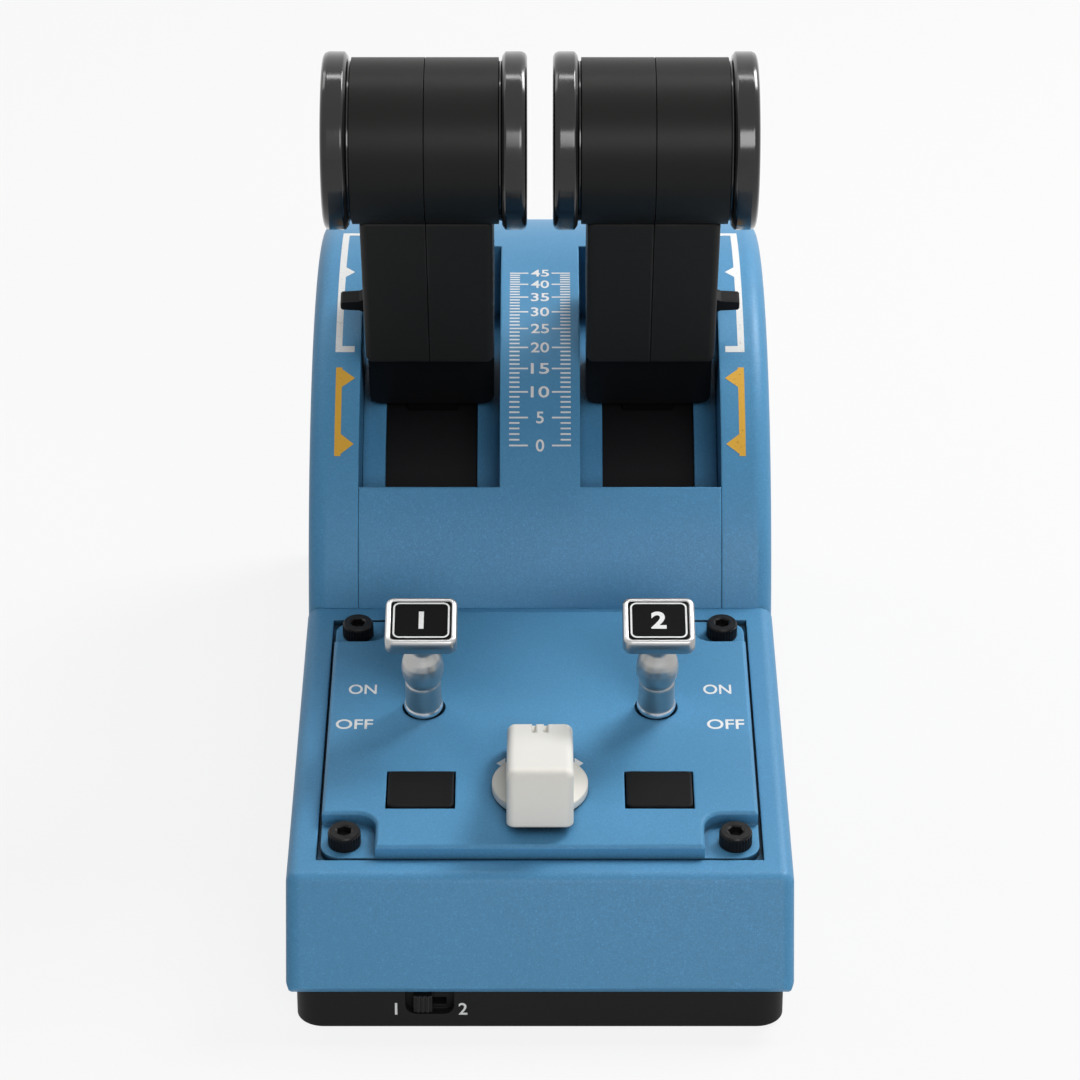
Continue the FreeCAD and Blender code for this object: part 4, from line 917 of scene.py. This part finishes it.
# The cap from its underside up, over the rim and down to the label: how far each layer is
# drawn in, its corner radius and its height.
CAP_LAYERS = [(1.6, 1.4, 0.0), (0.5, 1.9, 0.15), (0.0, 2.0, 0.6), (0.0, 2.0, CAP_HEIGHT - 0.8),
              (0.25, 1.9, CAP_HEIGHT - 0.3), (0.8, 1.7, CAP_HEIGHT),
              (2 * CAP_RIM - 0.3, 1.2, CAP_HEIGHT), (2 * CAP_RIM, 1.1, CAP_HEIGHT - 0.15),
              (2 * CAP_RIM, 1.1, CAP_HEIGHT - 0.5)]
LABEL_DEPTH = 0.08
LABEL_NUMBER = 5.2
BOLD = 0.03
# The printed frame on the label: how far each edge is drawn in, and its corner radius.
FRAME_OUTER = (3.4, 1.5)
FRAME_INNER = (4.2, 1.1)
STEM_PROFILE = [(1.5, -8.0), (1.5, -3.0), (2.6, -2.6), (3.5, -1.2), (3.7, 0.0), (3.68, 1.2),
                (3.8, 2.4), (4.0, 3.3), (4.4, 3.8), (4.45, 4.5), (4.2, 5.0), (4.0, 5.3),
                (4.05, 7.0), (4.05, 11.9), (3.95, 12.3), (3.8, 12.6), (3.82, 12.85), (4.1, 13.4),
                (4.5, 14.3), (4.72, 15.6), (4.74, 17.2), (4.5, 18.9), (4.0, 20.3), (3.3, 21.5),
                (2.8, 22.5), (2.75, 24.0), (2.75, 27.9)]
COLLAR_TOP = 5.0
satin_metal = machined("satin_metal", (0.48, 0.48, 0.47), 0.36, "Z", 1500.0, TOGGLE_LEAN)
ball_chrome = machined("ball_chrome", (0.86, 0.86, 0.87), 0.18, "Z", 900.0, TOGGLE_LEAN)
cap_metal = moulded("cap_metal", (0.42, 0.42, 0.42), 0.32, rub_and_sheen_color=(0.66, 0.66, 0.65), metallic=1.0,
                    spread=0.06, grain=3200.0, edge=0.12)
label_black = moulded("label_black", (0.0015, 0.0015, 0.0015), 0.5, grain=2000.0, mirror=0.05)


def lathe(profile, count=96, axis="Z"):
    """A closed turned shape from (radius, place along the axis) points, in millimetres."""
    rings = []
    for radius, along in profile:
        ring = []
        for step in range(count):
            turn = 2 * math.pi * step / count
            across, beside = radius * MM * math.cos(turn), radius * MM * math.sin(turn)
            upright = (across, beside, along * MM)
            ring.append(upright if axis == "Z" else (along * MM, across, beside))
        rings.append(ring)
    return ringed_shape(rings)


def rounded_profile(points, size=0.3, steps=3):
    """Round the corners of an open profile by a small radius."""
    smooth = [points[0]]
    for before, corner, after in zip(points, points[1:], points[2:]):
        before, corner, after = Vector(before), Vector(corner), Vector(after)
        reach_in = min(size, (before - corner).length * 0.45)
        reach_out = min(size, (after - corner).length * 0.45)
        start = corner + (before - corner).normalized() * reach_in
        end = corner + (after - corner).normalized() * reach_out
        for step in range(steps + 1):
            share = step / steps
            smooth.append(tuple(start * (1 - share) ** 2 + corner * 2 * share * (1 - share)
                                + end * share ** 2))
    smooth.append(points[-1])
    return smooth


def cap_outline(inset, corner, steps=8):
    """The cap's outline drawn in by an inset, with round corners, counter-clockwise."""
    width, length = CAP_WIDTH - inset, CAP_LENGTH - inset
    points = []
    for x, y, start in ((1, 1, 0), (-1, 1, 90), (-1, -1, 180), (1, -1, 270)):
        for step in range(steps + 1):
            turn = math.radians(start + 90 * step / steps)
            points.append((x * (width / 2 - corner) + corner * math.cos(turn),
                           y * (length / 2 - corner) + corner * math.sin(turn)))
    return points


for number, side in SIDES:
    pivot = Vector(joints["toggle_%d_flip" % number]["pos_m"])
    toggle_frame = Matrix.Translation(pivot) @ Matrix.Rotation(TOGGLE_LEAN, 4, "X")
    body = "toggle_%d" % number
    stem = mesh_piece("toggle_stem_%d" % number, lathe(rounded_profile(STEM_PROFILE)), satin_metal)
    stem.data.materials.append(ball_chrome)
    for face in stem.data.polygons:
        face.material_index = 1 if face.center.z < COLLAR_TOP * MM else 0
    stem.data.transform(toggle_frame)
    finish_piece(stem, body, "satin_metal", "toggle_%d_stem" % number)
    rings = [[(x * MM, y * MM, (TOGGLE_HEIGHT + rise) * MM) for x, y in cap_outline(inset, corner)]
             for inset, corner, rise in CAP_LAYERS]
    cap = mesh_piece("toggle_cap_%d" % number, ringed_shape(rings), cap_metal, toggle_frame)
    finish_piece(cap, body, "cap_metal", "toggle_%d_cap" % number)
    dress(label_black, "toggle_%d_label" % number)
    label_height = TOGGLE_HEIGHT + CAP_HEIGHT - LABEL_DEPTH
    face = toggle_frame @ Matrix.Translation((0.0, 0.0, label_height * MM))
    frame_line = bmesh.new()
    outer, inner = cap_outline(*FRAME_OUTER), cap_outline(*FRAME_INNER)
    thin = PRINT_THICKNESS / 2
    loops = [[frame_line.verts.new((x * MM, y * MM, z * MM)) for x, y in points]
             for points, z in ((outer, -thin), (outer, thin), (inner, thin), (inner, -thin))]
    for lower, upper in zip(loops, loops[1:] + loops[:1]):
        add_wall(frame_line, lower, upper)
    thin_frame = mesh_piece("label_frame_%d" % number, frame_line, white_ink, face, smooth=False)
    numeral = lettering("label_number_%d" % number, str(number), None, LABEL_NUMBER, face,
                        white_ink, BOLD)
    label_print = merge("label_print_%d" % number, [thin_frame, numeral])
    finish_piece(label_print, body, "knob_white")

# ---------------------------------------------------------------- selector knob
# A moulded off-white bar knob: a wedge with soft shoulders, two pointer grooves at its back
# edge, on a round skirt that turns just above the panel.

knob_plastic = moulded("knob_white", (0.83, 0.81, 0.75), 0.42, rub_and_sheen_color=(0.86, 0.85, 0.81),
                       spread=0.03, grain=3000.0, bump=0.04, edge=0.8)
dress(knob_plastic, "selector_knob", "knob_skirt")

# ---------------------------------------------------------------- push buttons
# Two square momentary buttons in close-fitting openings: matte black caps with a fine grain
# and a softened rim.

button_black = moulded("button_black", (0.004, 0.004, 0.0045), 0.6, rub_and_sheen_color=(0.10, 0.10, 0.10),
                       grain=3600.0, edge=0.6, mirror=0.08)
dress(button_black, "push_button_1", "push_button_2")

# ---------------------------------------------------------------- lever arms and shutters
# Inside each lever a black-anodised aluminium arm turns on the axle and carries the sensor's
# magnet. A black foot runs in the dome's channel, over a thin dark shutter that keeps dust out.

arm_black = moulded("arm_black", (0.004, 0.004, 0.0045), 0.55, rub_and_sheen_color=(0.012, 0.012, 0.012),
                    grain=2200.0, mirror=0.08)
dress_levers(arm_black, "arm")
magnet_nickel = machined("magnet_nickel", (0.62, 0.60, 0.56), 0.25, "X", 900.0)
dress_levers(magnet_nickel, "magnet")
shutter_black = moulded("shutter_black", (0.004, 0.004, 0.005), 0.6, grain=1800.0)
dress_levers(shutter_black, "shutter")
foot_black = moulded("foot_black", (0.0055, 0.0055, 0.006), 0.48, rub_and_sheen_color=(0.02, 0.02, 0.02))
dress_levers(foot_black, "foot")

# ---------------------------------------------------------------- lever shrouds and fins
# Two mirrored ABS half shells per lever, snapped together along a straight centre seam, with
# a fine spark-eroded grain. The outer half has the small flared fin that reads on the scale.

shroud_plastic = moulded("lever_plastic", (0.0135, 0.0130, 0.0118), 0.58, rub_and_sheen_color=(0.04, 0.04, 0.04),
                         grain=2800.0, bump=0.08, edge=0.8)
dress_levers(shroud_plastic, "shroud_inner", "shroud_outer")
fin_plastic = moulded("fin_plastic", (0.006, 0.006, 0.0065), 0.5, rub_and_sheen_color=(0.10, 0.098, 0.09),
                      edge=0.3, mirror=0.1)
dress_levers(fin_plastic, "pointer")

# ---------------------------------------------------------------- grips
# The grip barrel is two moulded halves round the arm's crown, in satin black with a soft
# touch coat. Glossy end rings screw on and leave a narrow dark neck beside the barrel.

barrel_coat = moulded("barrel_coat", (0.0090, 0.0092, 0.0084), 0.42, rub_and_sheen_color=(0.004, 0.004, 0.004),
                      grain=3400.0, bump=0.03, spread=0.08, edge=0.08)
RING_RADIUS = 20.44
BARREL_RADIUS = 19.1
RING_BORE = 6.0
CLOSED_BORE = 0.05
RING_POINTS = 160


def glossy_ring():
    """Polished black plastic under a clear coat, with hairline polishing marks."""
    material, tree, shader = new_material("ring_gloss", (0.006, 0.006, 0.0065), 0.16, 0.0, 0.25)
    shader.inputs["Coat Weight"].default_value = 0.5
    shader.inputs["Coat Roughness"].default_value = 0.14
    place = object_place(tree)
    hairlines = noise(tree, stretched(tree, place, (2600.0, 60.0, 60.0)), 1.0, 3.0)
    prints = ramp_between(tree, noise(tree, place, 90.0, 4.0), 0.45, 0.75)
    set_look(tree, shader, mix_color(tree, prints, (0.005, 0.005, 0.0055), (0.011, 0.011, 0.0115)),
             math_node(tree, "MULTIPLY_ADD", prints, 0.10, 0.15))
    add_relief(tree, shader, hairlines, 0.03, 0.03)
    return material


dress_levers(barrel_coat, "barrel_inner", "barrel_outer")
ring_gloss = glossy_ring()
for number, side in SIDES:
    for half_name in ("inner", "outer"):
        node_name = "lever_%d_ring_%s" % (number, half_name)
        low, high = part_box(node_name)
        axis_y, axis_z = (low[1] + high[1]) / 2, (low[2] + high[2]) / 2
        outwards = side if half_name == "outer" else -side
        near, far = (low[0], high[0]) if outwards > 0 else (high[0], low[0])
        width = abs(far - near) / MM
        bore = RING_BORE if half_name == "outer" else CLOSED_BORE
        profile = [(bore, width - 2.5), (BARREL_RADIUS - 3.6, width - 2.5),
                   (BARREL_RADIUS - 3.6, 0.0), (BARREL_RADIUS - 0.8, 0.0),
                   (BARREL_RADIUS - 0.8, 0.75), (RING_RADIUS - 1.1, 0.75),
                   (RING_RADIUS, 1.55), (RING_RADIUS, 2.2), (RING_RADIUS, width - 2.0),
                   (RING_RADIUS, width - 1.3), (RING_RADIUS - 0.35, width - 0.45),
                   (RING_RADIUS - 1.2, width), (RING_RADIUS - 2.2, width),
                   (RING_RADIUS - 3.0, width), (RING_RADIUS - 4.6, width),
                   (RING_RADIUS - 5.4, width - 0.55)]
        if half_name == "outer":
            profile += [(bore + 2.2, width - 0.7), (bore + 1.0, width - 0.1),
                        (bore + 0.3, width - 0.1), (bore, width - 0.5), (bore, width - 2.5)]
        else:
            profile += [(bore + 2.0, width - 0.75), (bore, width - 0.8)]
        flip = Matrix.Diagonal((outwards, 1.0, 1.0, 1.0))
        matrix = Matrix.Translation((near, axis_y, axis_z)) @ flip
        shape = lathe(rounded_profile(profile), RING_POINTS, "X")
        ring = mesh_piece("grip_ring_%d_%s" % (number, half_name), shape, ring_gloss)
        ring.data.transform(matrix)
        if outwards < 0:
            ring.data.flip_normals()
        finish_piece(ring, "lever_%d" % number, "ring_gloss", node_name)
trim_black = moulded("trim_button", (0.012, 0.012, 0.013), 0.4, rub_and_sheen_color=(0.05, 0.05, 0.05), edge=0.5)
dress_levers(trim_black, "button")

# ---------------------------------------------------------------- bank slide and base numbers
# A small ribbed slide in the round-bottomed recess of the tray's front wall picks the engine
# pair. Plain white numbers stand on either side of the recess.

slide_black = moulded("slide_black", (0.010, 0.010, 0.010), 0.45, rub_and_sheen_color=(0.06, 0.06, 0.06),
                      edge=0.3)
dress(slide_black, "bank_slider")
BASE_NUMBER = 3.0
base_print = []
for figure, x in (("1", -31.2), ("2", -16.7)):
    front = Matrix.Translation((x * MM, tray_low[1], (tray_low[2] + tray_high[2]) / 2))
    base_print.append(lettering("base_number", figure, None, BASE_NUMBER,
                                front @ Matrix.Rotation(math.pi / 2, 4, "X"), white_ink))
bank_numbers = merge("bank_numbers", base_print)
finish_piece(bank_numbers, "housing", "knob_white")

# ---------------------------------------------------------------- overall size
# The box round everything that renders, apart from the desk sheet.

low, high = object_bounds()
